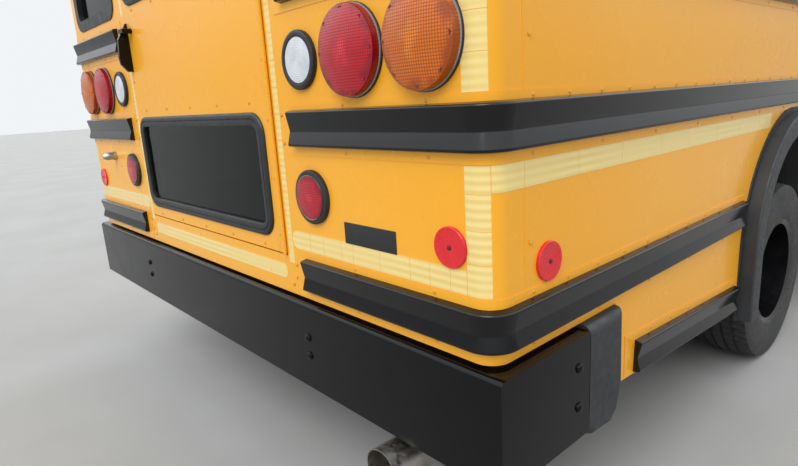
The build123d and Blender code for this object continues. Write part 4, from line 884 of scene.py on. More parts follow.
# %% Tape
TAPE_PROUD, TAPE_LINE = 0.0007, 0.0011
LOW_TAPE_JOINTS = (0.530, 0.6125, 0.671, 0.743, 0.7885, 0.883, 0.979, 1.0365, 1.0918, 1.134)
UPRIGHT_JOINTS_LOW = (0.772, 0.8354, 0.8987, 0.9658, 1.017)
UPRIGHT_JOINTS_HIGH = tuple(np.arange(1.142, 1.349, 0.066).tolist()) + (1.350,)
UPRIGHT_TAPE = (1.1350, 1.1868)
SIDE_TAPE_JOINTS = (0.0112, 0.0945, 0.28, 0.46, 0.6618, 0.8252, 1.02, 1.20, 1.38, 1.50)
AHEAD_TAPE_JOINTS = np.arange(REAR_ARCH_AHEAD + 0.02, 4.47, 0.183)
SIDE_TAPE_Z = (0.968, 1.0175)
LOW_TAPE_Z = (0.772, 0.821)
DOOR_EDGE_TAPE = (0.5035, 0.5275)
DOOR_EDGE_JOINTS = (np.arange(0.728, 1.49, 0.065), np.arange(1.49, 2.16, 0.065))
DOOR_SILL_TAPE = (0.677, 0.718)
ROUND_STEPS, ROUND_SHARE = 7, 0.45      # of a round end: its radius is this share of the height


def rounded_tile(side, start, end, low, high, turn_start):
    """Strip on the skin with round corners at its start or its end: near that end the
    edges follow a quarter circle, so each height steps in by r - sqrt(r^2 - x^2)."""
    radius = ROUND_SHARE * (high - low)
    angle = np.linspace(0, pi / 2, ROUND_STEPS)
    distance = np.append(radius * (1 - np.cos(angle)), end - start)
    inset = np.append(radius * (1 - np.sin(angle)), 0.0)
    if not turn_start:
        distance, inset = (end - start) - distance[::-1], inset[::-1]
    path, normal = skin(side, start + distance)
    rows = ((-SUNK, low + inset), (TAPE_PROUD, low + inset), (TAPE_PROUD, high - inset),
            (-SUNK, high - inset))
    points = np.stack([path + normal * lift + UP * height[:, None] for lift, height in rows], 1)
    first = np.arange(4)[None]
    return points.reshape(-1, 3), [quads(len(path), 4), first, first + (len(path) - 1) * 4]


def blocks(joints):
    """Starts and ends of tape blocks, with a line left open at each joint."""
    return [(start + TAPE_LINE / 2, end - TAPE_LINE / 2) for start, end in zip(joints[:-1], joints[1:])]


def tiles(side, joints, low, high):
    """Row of tiles along the skin with a line between neighbours."""
    return [band(side, start, end, low, high, TAPE_PROUD) for start, end in blocks(joints)]


def stack(side, joints, start, end):
    """Column of tiles up the skin."""
    return [band(side, start, end, low, high, TAPE_PROUD) for low, high in blocks(joints)]


print("blocks of tape over the low rail", len(blocks(LOW_TAPE_JOINTS)))

# %% [markdown]
# The strips run over the low rail at the rear, up the rear corners and the door's edges,
# and along the side. The door's sill has one more.

# %% Tape on the bus
tape_shapes = []
for side in BOTH:
    start, end = LOW_TAPE_JOINTS[:2]
    tape_shapes.append(rounded_tile(side, start, end - TAPE_LINE, *LOW_TAPE_Z, True))
    tape_shapes += tiles(side, LOW_TAPE_JOINTS[1:], *LOW_TAPE_Z)
    for joints in (UPRIGHT_JOINTS_LOW, UPRIGHT_JOINTS_HIGH):
        tape_shapes += stack(side, joints, *UPRIGHT_TAPE)
    for stations in (SIDE_TAPE_JOINTS, AHEAD_TAPE_JOINTS):
        tape_shapes += tiles(side, ahead(np.array(stations)), *SIDE_TAPE_Z)
    for joints in DOOR_EDGE_JOINTS:
        tape_shapes += stack(side, joints, *DOOR_EDGE_TAPE)
tape_shapes.append(rounded_tile(-1, 0.395, 0.484, *DOOR_SILL_TAPE, False))
tape_shapes.append(band(-1, 0.0, 0.394, *DOOR_SILL_TAPE, TAPE_PROUD))
tape_shapes.append(band(1, 0.0, 0.492, *DOOR_SILL_TAPE, TAPE_PROUD))
build("reflective_tape", tape_shapes, "bus", tape_film)

# %% [markdown]
# A 7 inch signal lamp is a moulded dish of coloured plastic: a fluted wall 20 mm deep and
# a crowned face. The profile is turned about the lamp's axis, and every other point of the
# wall's rings is drawn inwards for the flutes. The small lamps on the roof's rear end are
# plain domes. These lenses replace the plain discs of the frame.

# %% Lamps
REAR_SEVEN_INCH = (("red", 0.843, 1.240), ("amber", 1.052, 1.242), ("red", 0.880, 2.420),
                   ("amber", 0.640, 2.420))
REAR_FOUR_INCH = (              # colour, y, z, radius, depth
    ("red", 0.647, 0.918, 0.0540, 0.0135), ("clear", 0.645, 1.238, 0.0515, 0.0075),
)
FRONT_WARNING = (("red", 0.790, 2.400), ("amber", 0.565, 2.400))
ROOF_MARKERS = ((0.0, 2.710), (0.160, 2.710), (-0.160, 2.710), (0.985, 2.490), (-0.985, 2.490))
WARNING_FACE = at(5.300)
SEVEN_BASE, FOUR_BASE = 0.006, 0.005            # thickness of the bases under the lenses
SEVEN_INCH = (0.0918, 0.030, 0.0190, 168)       # radius, depth, wall's height, sides
WARNING_LENS = (0.093, 0.040, 0.022, 72)
FOUR_INCH_WALL, FOUR_INCH_SIDES = 0.75, 72      # wall's share of the depth
FLUTE_SHARE, CROWN_POWER = 0.010, 2.2
FLAT_LENS = 0.01                                # a lens less deep than this has rings
FACE_ROWS, RINGED_ROWS, FACE_REACH = 12, 60, 0.965      # the face's edge lies inside the wall
PRISM_PITCH, PRISM_HEIGHT = 0.0052, 0.00035
DOME = [(0, 0), (0.0215, 0), (0.0215, 0.005), (0.0185, 0.0065), (0.0180, 0.010), (0.0150, 0.0145),
        (0.0080, 0.0172), (0, 0.0178)]


def dish(centre, axis, radius, depth, wall, sides):
    """Fluted dish and the reach of its points: an upright wall, then a face whose height
    above the wall is its rise times 1 minus the share of the radius to the power 2.2. A
    flat face has ring prisms, a cosine of the distance from the middle."""
    share = np.linspace(1, 0, FACE_ROWS if depth > FLAT_LENS else RINGED_ROWS)
    face = wall + (depth - wall) * (1 - share ** CROWN_POWER)
    if depth < FLAT_LENS:
        face = face + PRISM_HEIGHT * np.cos(2 * pi * share * radius / PRISM_PITCH)
    profile = [(0, 0), (radius, 0), (radius, wall * 0.86), (radius * 0.988, wall * 0.97)]
    profile += [(radius * FACE_REACH * s, height) for s, height in zip(share, face)]
    points, faces = turned(profile, centre, axis, sides)
    rings = points.reshape(len(profile), sides, 3)
    middle = rings[1:3].mean(axis=1, keepdims=True)
    rings[1:3, ::2] += (middle - rings[1:3, ::2]) * FLUTE_SHARE
    reach = np.repeat([1.0] * 4 + [FACE_REACH * s for s in share], sides)
    return (points, faces), reach


print("signal lamps a side", len(REAR_SEVEN_INCH + REAR_FOUR_INCH + FRONT_WARNING))

# %% [markdown]
# All lenses of one colour are one piece, as in the parts list. A table gives each lamp's
# place and form for one side, and the other side mirrors it.

# %% Red and amber lenses
LENSES = [                      # colour, x, y, z, axis, form
    *((colour, REAR_SKIN - SEVEN_BASE, y, z, BACKWARD, SEVEN_INCH) for colour, y, z in REAR_SEVEN_INCH),
    *((colour, REAR_SKIN - FOUR_BASE, y, z, BACKWARD,
       (radius, depth, depth * FOUR_INCH_WALL, FOUR_INCH_SIDES))
      for colour, y, z, radius, depth in REAR_FOUR_INCH),
    *((colour, WARNING_FACE, y, z, FORWARD, WARNING_LENS) for colour, y, z in FRONT_WARNING),
]


def lens_set(wanted):
    """Lens shapes of one colour and the reach of their points."""
    made = [dish((x, side * y, z), axis, *form)
            for side in BOTH for colour, x, y, z, axis, form in LENSES if colour == wanted]
    if wanted == "red":
        domes = [turned(DOME, (REAR_SKIN, y, z), BACKWARD) for y, z in ROOF_MARKERS]
        made += [(shape, np.full(len(shape[0]), 0.5)) for shape in domes]
    shapes, reaches = zip(*made)
    return shapes, np.concatenate(reaches)


for colour, finish in (("red", red_lens), ("amber", amber_lens)):
    shapes, reach = lens_set(colour)
    build(f"signal_lenses_{colour}", shapes, "bus", finish, reach=reach,
          replaces=(f"lenses_{colour}",))

# %% [markdown]
# Each big lens is held by eight screws that sit dark and flush in its face near the rim,
# and its black base has a pale gasket. Each small lamp sits in a wide black rubber grommet,
# pressed over the panel's hole. The 3 inch reflectors are discs with one screw.

# %% Lamp screws and gaskets
SCREW_RING, SCREW_HEIGHT = 0.0815, 0.0196
SCREW_TURNS = np.arange(8) * pi / 4
SCREW_WELL = [(0, -0.001), (0.0048, -0.001), (0.0048, 0.0014), (0.0042, 0.0017), (0.0030, 0.0011),
              (0, 0.0010)]
GASKET = [(0.0905, 0.0055), (0.0936, 0.0055), (0.0936, 0.0072), (0.0905, 0.0080)]
seven_inch_places = np.array([(REAR_SKIN, side * y, z) for side in BOTH for _, y, z in REAR_SEVEN_INCH])
screw_circle = np.stack([np.full(8, -SEVEN_BASE - SCREW_HEIGHT), SCREW_RING * np.cos(SCREW_TURNS),
                         SCREW_RING * np.sin(SCREW_TURNS)], -1)
screw_places = (seven_inch_places[:, None] + screw_circle).reshape(-1, 3)
build("lens_screws", [stamped(turned(SCREW_WELL, sides=12), screw_places, BACKWARD)], "bus",
      screw_well)
build("lamp_gaskets", [ring(GASKET, place, BACKWARD, 72) for place in seven_inch_places], "bus",
      gasket_foam)

# %% [markdown]
# A small lamp's grommet is a fat rubber ring, and the red one also has a pale rim. A
# reflector is a shallow disc with a raised edge, held by one screw in its middle.

# %% Grommets and reflectors
GROMMET = [(0.051, 0.0), (0.0665, 0.0), (0.0670, 0.0080), (0.0655, 0.0108), (0.0620, 0.0122),
           (0.0560, 0.0124), (0.0530, 0.0116), (0.051, 0.0085)]
PALE_RIM = [(0.0530, 0.004), (0.0552, 0.004), (0.0552, 0.0142), (0.0530, 0.0136)]
REFLECTOR = [(0, 0), (0.0405, 0), (0.0405, 0.0055), (0.0392, 0.0070), (0.0370, 0.0066), (0, 0.0062)]
SCREW_HEAD = [(0, 0.0055), (0.0052, 0.0055), (0.0048, 0.0078), (0.0025, 0.0088), (0, 0.0090)]
REAR_REFLECTOR = (1.097, 0.861)                     # y, z
SIDE_REFLECTORS, SIDE_REFLECTOR_Z = (0.170, 4.250), 0.8115      # stations of the red, the amber
grommets, pale_rims, reflectors, reflector_screws, amber_reflectors = [], [], [], [], []
for side in BOTH:
    for colour, y, z, *_ in REAR_FOUR_INCH:
        centre = (REAR_SKIN, side * y, z)
        grommets.append(ring(GROMMET, centre, BACKWARD))
        if colour == "red":
            pale_rims.append(ring(PALE_RIM, centre, BACKWARD))
    rear = (REAR_SKIN, side * REAR_REFLECTOR[0], REAR_REFLECTOR[1])
    red, amber = [(at(station), side * HALF, SIDE_REFLECTOR_Z) for station in SIDE_REFLECTORS]
    for centre, axis in ((rear, BACKWARD), (red, (0, side, 0))):
        reflectors.append(turned(REFLECTOR, centre, axis, sides=40))
        reflector_screws.append(turned(SCREW_HEAD, centre, axis, sides=12))
    amber_reflectors.append(turned(REFLECTOR, amber, (0, side, 0), sides=40))
build("lamp_grommets", grommets, "bus", seal_rubber)
build("lamp_rims", pale_rims, "bus", zinc_plate)
build("red_reflectors", reflectors, "bus", reflector_red)
build("amber_reflectors", amber_reflectors, "bus", reflector_amber)
build("reflector_screws", reflector_screws, "bus", screw_well)

# %% [markdown]
# The rear panel carries a small bare black plate, and on the left a bullet lamp that would
# light a licence plate.

# %% Blank plate and licence lamp
PLATE_LOW, PLATE_HIGH = (REAR_SKIN - 0.0022, -0.941, 0.820), (REAR_SKIN + 0.0005, -0.764, 0.870)
build("blank_rear_plate", [rounded_box(PLATE_LOW, PLATE_HIGH, 0.0010)], "bus", black_plastic)
BULLET = [(0, 0), (0.016, 0), (0.016, 0.030), (0.0145, 0.042), (0.0100, 0.051), (0.004, 0.055), (0, 0.0555)]
HOOD_RING = [(0.0165, 0.004), (0.019, 0.004), (0.019, 0.010), (0.0165, 0.010)]
BULLET_PLACE = (REAR_SKIN, 0.875, 0.968)
build("licence_lamp", [turned(BULLET, BULLET_PLACE, BACKWARD), ring(HOOD_RING, BULLET_PLACE, BACKWARD, 24)],
      "bus", zinc_plate)

# %% [markdown]
# The door's glass sits in an extruded rubber channel. The channel is one profile carried
# round a rectangle with round corners: a lip on the skin, a groove for the locking strip
# and a lip on the glass. It replaces the plain square ring of the frame.

# %% Window rubber of the rear door
DOOR_PANES = (                  # y range, z range, corner radius of the cut in the door
    ((-0.434, 0.479), (0.799, 1.114), 0.048),
    ((-0.434, 0.460), (1.525, 1.985), 0.048),
)
CHANNEL = [                     # outward from the cut's edge, proud of the door's face
    (-0.0228, 0.0), (-0.0228, 0.0055), (-0.0190, 0.0082), (-0.0120, 0.0090), (-0.0068, 0.0087),
    (-0.0058, 0.0066), (-0.0044, 0.0066), (-0.0034, 0.0087), (0.0040, 0.0088), (0.0092, 0.0070),
    (0.0118, 0.0030), (0.0118, 0.0), (0.0, 0.0), (0.0, -0.030), (-0.0228, -0.030),
]


def rounded_loop(y, z, radius, x, steps=8):
    """Rectangle with round corners in a plane across the bus, and its outward normals."""
    high_y, low_y, high_z, low_z = y[1] - radius, y[0] + radius, z[1] - radius, z[0] + radius
    centres = ((x, high_y, high_z), (x, low_y, high_z), (x, low_y, low_z), (x, high_y, low_z))
    turn = np.linspace(0, pi / 2, steps) + np.arange(4)[:, None] * pi / 2
    normal = np.stack([0 * turn, np.cos(turn), np.sin(turn)], -1)
    points = np.array(centres)[:, None] + radius * normal
    return points.reshape(-1, 3), normal.reshape(-1, 3)


DOOR_SKIN = at(-0.002)
channels = []
for y, z, radius in DOOR_PANES:
    path, normal = rounded_loop(y, z, radius, DOOR_SKIN)
    channels.append(swept(CHANNEL, path, normal, np.broadcast_to(BACKWARD, path.shape), loop=True))
build("rear_door_channels", channels, "rear_door", seal_rubber,
      replaces=("rear_door_seals",), sharp=40)

# %% [markdown]
# The door hangs on a full-length piano hinge: short knuckles on one pin, alternately of
# the door's leaf and the post's. The knuckles are one turned barrel, stamped up the pin.

# %% Piano hinge
HINGE_X, HINGE_Y = at(-0.006), -0.4915
KNUCKLE_PITCH, KNUCKLE_LENGTH, KNUCKLE_RADIUS, KNUCKLE_ROUND = 0.0381, 0.0362, 0.0056, 0.0008
LEAF_Y, LEAF_PROUD = (-0.487, -0.456), 0.0016
DOOR_Z = (0.750, 2.090)
KNUCKLE = [(0, 0), (KNUCKLE_RADIUS * 0.85, 0), (KNUCKLE_RADIUS, KNUCKLE_ROUND),
           (KNUCKLE_RADIUS, KNUCKLE_LENGTH - KNUCKLE_ROUND), (KNUCKLE_RADIUS * 0.85, KNUCKLE_LENGTH),
           (0, KNUCKLE_LENGTH)]
heights = np.arange(DOOR_Z[0] + 0.001, DOOR_Z[1] - KNUCKLE_LENGTH, KNUCKLE_PITCH)
knuckle_places = [(HINGE_X, HINGE_Y, height) for height in heights]
hinge_leaf = rounded_box((DOOR_SKIN - LEAF_PROUD, LEAF_Y[0], DOOR_Z[0]),
                         (DOOR_SKIN + SUNK, LEAF_Y[1], DOOR_Z[1]), 0.0007)
build("rear_door_hinge", [stamped(turned(KNUCKLE, sides=12), knuckle_places, UP), hinge_leaf],
      "rear_door", yellow_enamel)

# %% [markdown]
# Rivets hold the door's frame: rows over and under each window, and a column up each edge.

# %% Door rivets
DOOR_ROWS = (1.1505, 0.7625, 1.498, 2.030)              # heights, over and under the windows
DOOR_COLUMNS = (0.405, 0.210, 0.013, -0.182, -0.379)
EDGE_COLUMNS, EDGE_HEIGHTS = (-0.4715, 0.488), np.arange(0.80, 2.06, 0.152)     # hinge and lock edge
RIVET_FACE = DOOR_SKIN - 0.0008
door_rivets = [(RIVET_FACE, y, z) for z in DOOR_ROWS for y in DOOR_COLUMNS]
door_rivets += [(RIVET_FACE, y, z) for y in EDGE_COLUMNS for z in EDGE_HEIGHTS]
build("rear_door_rivets", [stamped(rivet_head, door_rivets, BACKWARD)], "rear_door",
      shaded_rivet_enamel)

# %% [markdown]
# The bumper is bolted to brackets with carriage bolts: two pairs on the rear face and a
# pair on each wrapped end. Their domes are painted with the bumper.

# %% Bumper bolts
BOLT_DOME = [(0, 0), (0.0115, 0), (0.0110, 0.0030), (0.0080, 0.0058), (0.0040, 0.0070), (0, 0.0073)]
bolt_dome = turned(BOLT_DOME, sides=16)
BUMPER_X, BUMPER_Y = at(-0.021), 1.225
REAR_BOLT_Y, REAR_BOLT_Z = 0.590, (0.540, 0.489)
WRAP_BOLT_X, WRAP_BOLT_Z = at(0.243), (0.562, 0.470)
rear_bolts = [(BUMPER_X, side * REAR_BOLT_Y, z) for side in BOTH for z in REAR_BOLT_Z]
bolt_shapes = [stamped(bolt_dome, rear_bolts, BACKWARD)]
for side in BOTH:
    wrap_bolts = [(WRAP_BOLT_X, side * BUMPER_Y, z) for z in WRAP_BOLT_Z]
    bolt_shapes.append(stamped(bolt_dome, wrap_bolts, (0, side, 0)))
build("bumper_bolts", bolt_shapes, "bus", black_enamel)

# %% [markdown]
# A tyre is moulded as one piece with its tread, so it is one closed grid wound round the
# wheel: across the section, and round the axle. The section is a superellipse flank that
# runs into a flat crown, with lines at the grooves' walls. These replace the plain tyres.

# %% Tyre section
TYRE_HALF, SHOULDER_HALF = 0.111, 0.098
BEAD_RADIUS, BEAD_HALF = 0.205, 0.090
FLANK_MIDDLE, FLANK_REACH = 0.282, 0.080        # middle radius of the flank, and half its height
CROWN_HALF = 0.088
GROOVES = (-0.058, -0.020, 0.020, 0.058)        # places across the tread
GROOVE_HALF, GROOVE_DEPTH = 0.0045, 0.009
SLOTS, SLOT_SHARE, SLOT_DEPTH = 58, 0.30, 0.007
SHOULDER_FALL = 0.006


def tyre_section():
    """Places across the tyre and radii, from one bead over the crown to the other. On the
    flank t runs from -1 at the bead to 1 at the shoulder. The place swells by its rise times
    (1 - t^2.6)^(1/2.6) up to t = 0, and from there draws in by its fall times t^3. The crown
    falls to its edge by the shoulder's fall times the place's share to the power 2.5."""
    t = np.linspace(-1, 0.86, 15)
    flank_radius = FLANK_MIDDLE + FLANK_REACH * t
    swell = (1 - np.abs(t) ** 2.6) ** (1 / 2.6)
    flank_y = BEAD_HALF + (TYRE_HALF - BEAD_HALF) * swell
    flank_y = np.where(t > 0, TYRE_HALF - (TYRE_HALF - SHOULDER_HALF) * t ** 3, flank_y)
    flank_y[0], flank_radius[0] = BEAD_HALF, BEAD_RADIUS
    walls = np.array([-1.25, -1, 1, 1.25]) * GROOVE_HALF
    grooves = (np.array(GROOVES)[:, None] + walls).ravel()
    crown_y = np.concatenate([[-CROWN_HALF], grooves, [CROWN_HALF]])
    crown_radius = TYRE_RADIUS - SHOULDER_FALL * np.abs(crown_y / CROWN_HALF) ** 2.5
    y = np.concatenate([-flank_y, crown_y, flank_y[::-1]])
    radius = np.concatenate([flank_radius, crown_radius, flank_radius[::-1]])
    return y, radius


print("points across a tyre", len(tyre_section()[0]))

# %% [markdown]
# The tread is pressed into the crown. Four grooves run round it, and slots that lean a
# little cross the ribs, except for a solid one in the middle.

# %% Tread
TREAD_STEPS = SLOTS * 6
SLOT_SLANT, MIDDLE_SLANT, MIDDLE_BAND = 1.6, 0.4, 0.03      # pitches that a slot leans to the edge
SOLID_RIB = 0.0205                      # the middle rib has no slots


def tyre(station, centre):
    """Closed grid of one tyre. Its radius is the section's, less the grooves' depth in a
    groove, less the slots' depth where the angle times the slots, plus the slant, leaves
    a rest under the slots' share."""
    y, radius = tyre_section()
    away = np.abs(y)
    in_groove = (np.abs(y - np.array(GROOVES)[:, None]) <= GROOVE_HALF * 1.01).any(axis=0)
    on_crown = (away > SOLID_RIB) & (away <= CROWN_HALF + SEAM) & ~in_groove
    share = np.arange(TREAD_STEPS)[:, None] / TREAD_STEPS
    lean = SLOT_SLANT * y / CROWN_HALF * np.where(away > MIDDLE_BAND, 1, MIDDLE_SLANT)
    slotted = ((share * SLOTS + lean) % 1.0 < SLOT_SHARE) & on_crown
    pressed = radius - np.where(in_groove, GROOVE_DEPTH, 0.0) - np.where(slotted, SLOT_DEPTH, 0.0)
    angle = 2 * pi * share
    points = np.stack([station + pressed * np.cos(angle), np.broadcast_to(centre + y, pressed.shape),
                       TYRE_RADIUS + pressed * np.sin(angle)], -1)
    return points.reshape(-1, 3), [quads(TREAD_STEPS, len(y), wrap_rows=True)]


print("points of a tyre", len(tyre(0.0, 0.0)[0]))

# %% [markdown]
# The front wheels have one tyre each and the rear wheels two, close together.

# %% Tyres on the wheels
TWIN_INNER, TWIN_OUTER, FRONT_TRACK = 0.807, 1.061, 0.882
for side_name, side in SIDES:
    build(f"front_tyre_{side_name}", [tyre(at(FRONT_AXLE), side * FRONT_TRACK)],
          f"wheel_front_{side_name}", tyre_rubber,
          replaces=(f"tyre_front_{side_name}",), sharp=28)
    build(f"twin_tyres_{side_name}", [tyre(at(REAR_AXLE), side * centre)
                                      for centre in (TWIN_INNER, TWIN_OUTER)],
          f"wheels_rear_{side_name}", tyre_rubber,
          replaces=(f"tyres_rear_{side_name}",), sharp=28)

# %% [markdown]
# Sixteen inch wheels have eight nuts. On the front wheel they stand on the disc's raised
# face round the open hub. The rear pair share studs deep in the dish.

# %% Wheel nuts
NUTS = 8
NUT = [(0, -0.002), (0.0135, -0.002), (0.0140, 0.004), (0.0125, 0.016), (0.0085, 0.021), (0.0070, 0.034),
       (0.0, 0.036)]
nut = turned(NUT, sides=6)
FRONT_FACE, FRONT_RING = FRONT_TRACK + 0.104, 0.083
REAR_FACE, REAR_RING = (TWIN_INNER + TWIN_OUTER) / 2 + 0.012, 0.086
WHEEL_NUTS = (                  # end, body, axle, face of the disc, radius of the ring
    ("front", "wheel_front", FRONT_AXLE, FRONT_FACE, FRONT_RING),
    ("rear", "wheels_rear", REAR_AXLE, REAR_FACE, REAR_RING),
)
nut_turns = radians(22.5) + 2 * pi * np.arange(NUTS) / NUTS
for side_name, side in SIDES:
    for end, body, axle, face, reach in WHEEL_NUTS:
        places = np.stack([at(axle) + reach * np.cos(nut_turns), np.full(NUTS, side * face),
                           TYRE_RADIUS + reach * np.sin(nut_turns)], -1)
        build(f"{end}_nuts_{side_name}", [stamped(nut, places, (0, side, 0))], f"{body}_{side_name}",
              zinc_plate, sharp=25)

# %% [markdown]
# The flare over the twin wheels is a moulded rubber band. Its face is nearly flat, with a
# slight crown, and it turns back to the panel over a small round edge. The face is a thin
# shell fitted over the flare's body, its section carried up one leg, over and down.

# %% Flare faces
FLARE_FOOT, FLARE_HALF, FLARE_TOP, FLARE_CORNER = 0.330, 0.540, 1.003, 0.428
FLARE_SECTION = ((-0.069, 0.0446), (-0.069, 0.0455), (-0.066, 0.0472), (-0.035, 0.0482),
                 (-0.004, 0.0472), (0.0005, 0.0455), (0.0020, 0.0420), (0.0020, 0.0052),
                 (-0.005, 0.0052), (-0.005, 0.0300), (-0.015, 0.0400), (-0.030, 0.0446))


def arch_path(side, steps=14):
    """Points and outward directions along the flare's rim: legs, corner arcs and top."""
    angle = np.linspace(0, pi / 2, steps)
    turn = np.concatenate([[0], angle, pi - angle[::-1], [pi]])
    across = (FLARE_HALF - FLARE_CORNER) * np.repeat([1, -1], steps + 1)
    points = np.stack([at(REAR_AXLE) + across + FLARE_CORNER * np.cos(turn),
                       np.full(len(turn), side * HALF),
                       FLARE_TOP - FLARE_CORNER + FLARE_CORNER * np.sin(turn)], -1)
    points[[0, -1], 2] = FLARE_FOOT
    return points, np.stack([np.cos(turn), 0 * turn, np.sin(turn)], -1)


flare_shapes = []
for side in BOTH:
    points, normals = arch_path(side)
    flare_shapes.append(swept(FLARE_SECTION, points, normals, np.broadcast_to(side * LEFT, points.shape)))
build("flare_faces", flare_shapes, "bus", weathered_rubber, sharp=18)

# %% [markdown]
# A school bench is foam on a steel frame, under a vinyl cover that is stretched tight and
# sewn along its edges. So each cover starts as a grid on a rounded block, a little smaller
# than the foam, and cloth simulation with pressure inside swells it against its own
# tension. One back and one cushion are simulated, and copies of them fill every row.

# %% Cover before the swelling
PAD_CELL, PAD_ROUND, PAD_INSET = 0.022, 0.022, 0.006


def pad_grid(outline, y):
    """Closed grid on a rounded block, stretched to a four-cornered outline of (station,
    height) points: a point goes to the mix of the corners that its shares of the block
    give. Also gives those shares before the edges are rounded."""
    outline = np.asarray(outline, float)
    outline = outline + PAD_INSET * np.sign(outline.mean(axis=0) - outline)
    low, high = y[0] + PAD_INSET, y[1] - PAD_INSET
    half = np.array([np.linalg.norm(outline[1] - outline[0]), high - low,
                     np.linalg.norm(outline[2] - outline[1])]) / 2
    lines = [np.linspace(-1, 1, max(4, int(round(2 * size / PAD_CELL)) + 1)) for size in half]
    plain, faces = wrapped_box(half, 1e-6, lines)
    rounded, faces = wrapped_box(half, PAD_ROUND, lines)
    shares, first, place = np.unique(np.round(plain / half, 4), axis=0, return_index=True,
                                     return_inverse=True)
    u, v, w = ((rounded[first] / half + 1) / 2).T[:, :, None]
    foot = outline[0] + (outline[1] - outline[0]) * u
    head = outline[3] + (outline[2] - outline[3]) * u
    across = foot + (head - foot) * w
    points = np.stack([at(across[:, 0]), low + (high - low) * v[:, 0], across[:, 1]], -1)
    return points, place.ravel()[np.concatenate(faces)], shares


print("a cover's grid cell", PAD_CELL, "and edge radius", PAD_ROUND)

# %% [markdown]
# Cloth that is filled with air takes the shape of a stuffed cover, fuller in its middle
# than at its seams, so the simulation needs only pressure and no weight.

# %% Swollen cover
PUFF_FRAMES, PUFF_PRESSURE, PUFF_CAP = 18, 4.0, 0.012


def puffed(name, outline, y):
    """Points, faces and shares of a swollen cover: cloth with pressure inside. The swelling
    is scaled down until its middle moves by the cap, so it stays crowned and its edges keep
    their pull."""
    points, faces, shares = pad_grid(outline, y)
    mesh = bpy.data.meshes.new(name)
    mesh.from_pydata(points.tolist(), [], faces.tolist())
    face_outwards(mesh)
    cover = put(name, mesh)
    cloth = cover.modifiers.new("cover", "CLOTH").settings
    cloth.use_pressure = True
    cloth.uniform_pressure_force = PUFF_PRESSURE
    cloth.effector_weights.gravity = 0
    for frame_number in range(1, PUFF_FRAMES + 1):
        bpy.context.scene.frame_set(frame_number)
    result = cover.evaluated_get(bpy.context.evaluated_depsgraph_get()).data
    swollen = np.empty(len(result.vertices) * 3)
    result.vertices.foreach_get("co", swollen)
    bpy.context.scene.frame_set(1)
    move = swollen.reshape(-1, 3) - points
    reach = np.linalg.norm(move, axis=1).max()
    points = points + move * min(PUFF_CAP / reach, 1)
    print(name, "points", len(points), "share of the swelling", round(PUFF_CAP / reach, 3))
    bpy.data.objects.remove(cover)
    return points, faces, shares


# %% [markdown]
# Seams are finished with piping, a thin cord in the cover's own vinyl. It runs round the
# rim of a face, so its path is the rim's own points, put in order.

# %% Piping
WELT_RADIUS, WELT_SIDES = 0.0045, 6


def circle(radius, sides):
    """Points of a circle, as a profile."""
    angle = 2 * pi * np.arange(sides) / sides
    return radius * np.stack([np.cos(angle), np.sin(angle)], -1)


def welt(points, shares, axis, end):
    """Sewn piping round one face of a cover: a thin tube along the points of its rim, in
    the order of their angle about the face's middle."""
    others = [i for i in range(3) if i != axis]
    rim = (shares[:, axis] == end) & (np.abs(shares[:, others]).max(axis=1) == 1)
    turn = np.arctan2(shares[rim][:, others[1]], shares[rim][:, others[0]])
    path = points[rim][np.argsort(turn)]
    along = unit(np.roll(path, -1, axis=0) - np.roll(path, 1, axis=0))
    out = path - path.mean(axis=0)
    out = unit(out - (out * along).sum(axis=1, keepdims=True) * along)
    return swept(circle(WELT_RADIUS, WELT_SIDES), path, out, np.cross(along, out), loop=True)


print("piping's thickness", 2 * WELT_RADIUS)

# %% [markdown]
# Twelve benches stand in six rows on both sides of the aisle, one row to a window.

# %% Passenger benches
ROWS, ROW_START = 6, 0.440
BENCH_Y = (0.215, 1.135)
BENCH_BACK = ((0, 1.130), (0.095, 1.130), (0.035, 1.800), (-0.050, 1.800))
BENCH_SEAT = ((0.100, 1.115), (0.485, 1.130), (0.485, 1.235), (0.100, 1.215))
BENCH_PADS = (("bench_back", BENCH_BACK, ((0, -1), (0, 1))), ("bench_seat", BENCH_SEAT, ((2, 1),)))


def in_every_row(points, faces):
    """Copies of a shape in both columns of benches and in all rows."""
    moves = [(ROW_START + row * WINDOW_PITCH, shift, 0) for row in range(ROWS)
             for shift in (0.0, -sum(BENCH_Y))]
    return [(points + np.array(move), faces) for move in moves]


padding, welts = [], []
for name, outline, rims in BENCH_PADS:          # a rim is an axis of the block and its end
    points, faces, shares = puffed(name, outline, BENCH_Y)
    padding += in_every_row(points, [faces])
    for rim in rims:
        welts += in_every_row(*welt(points, shares, *rim))
benches = build("bench_padding", padding, "bus", vinyl, replaces=("passenger_seats",))
build("bench_welts", welts, "bus", vinyl)

# %% [markdown]
# The driver has a high-backed seat on a plastic riser. Its cushion and back are covered in
# the same vinyl and in the same way.

# %% Driver's seat
DRIVER_Y = (0.270, 0.750)
DRIVER_SEAT = ((4.720, 1.085), (5.180, 1.100), (5.180, 1.210), (4.720, 1.190))
DRIVER_BACK = ((4.640, 1.180), (4.715, 1.180), (4.660, 1.850), (4.580, 1.850))
RISER = (                       # low and high corner, edge radius
    ((at(4.760), 0.330, 0.750), (at(5.100), 0.690, 1.040), 0.012),
    ((at(4.790), 0.360, 1.030), (at(5.070), 0.660, 1.088), 0.008),
)
driver_pads, driver_welts = [], []
for name, outline, axis in (("driver_cushion", DRIVER_SEAT, 2), ("driver_back", DRIVER_BACK, 0)):
    points, faces, shares = puffed(name, outline, DRIVER_Y)
    driver_pads.append((points, [faces]))
    driver_welts.append(welt(points, shares, axis, 1))
driver_padding = build("driver_padding", driver_pads, "bus", vinyl,
                       replaces=("driver_seat",))
build("driver_welts", driver_welts, "bus", vinyl)
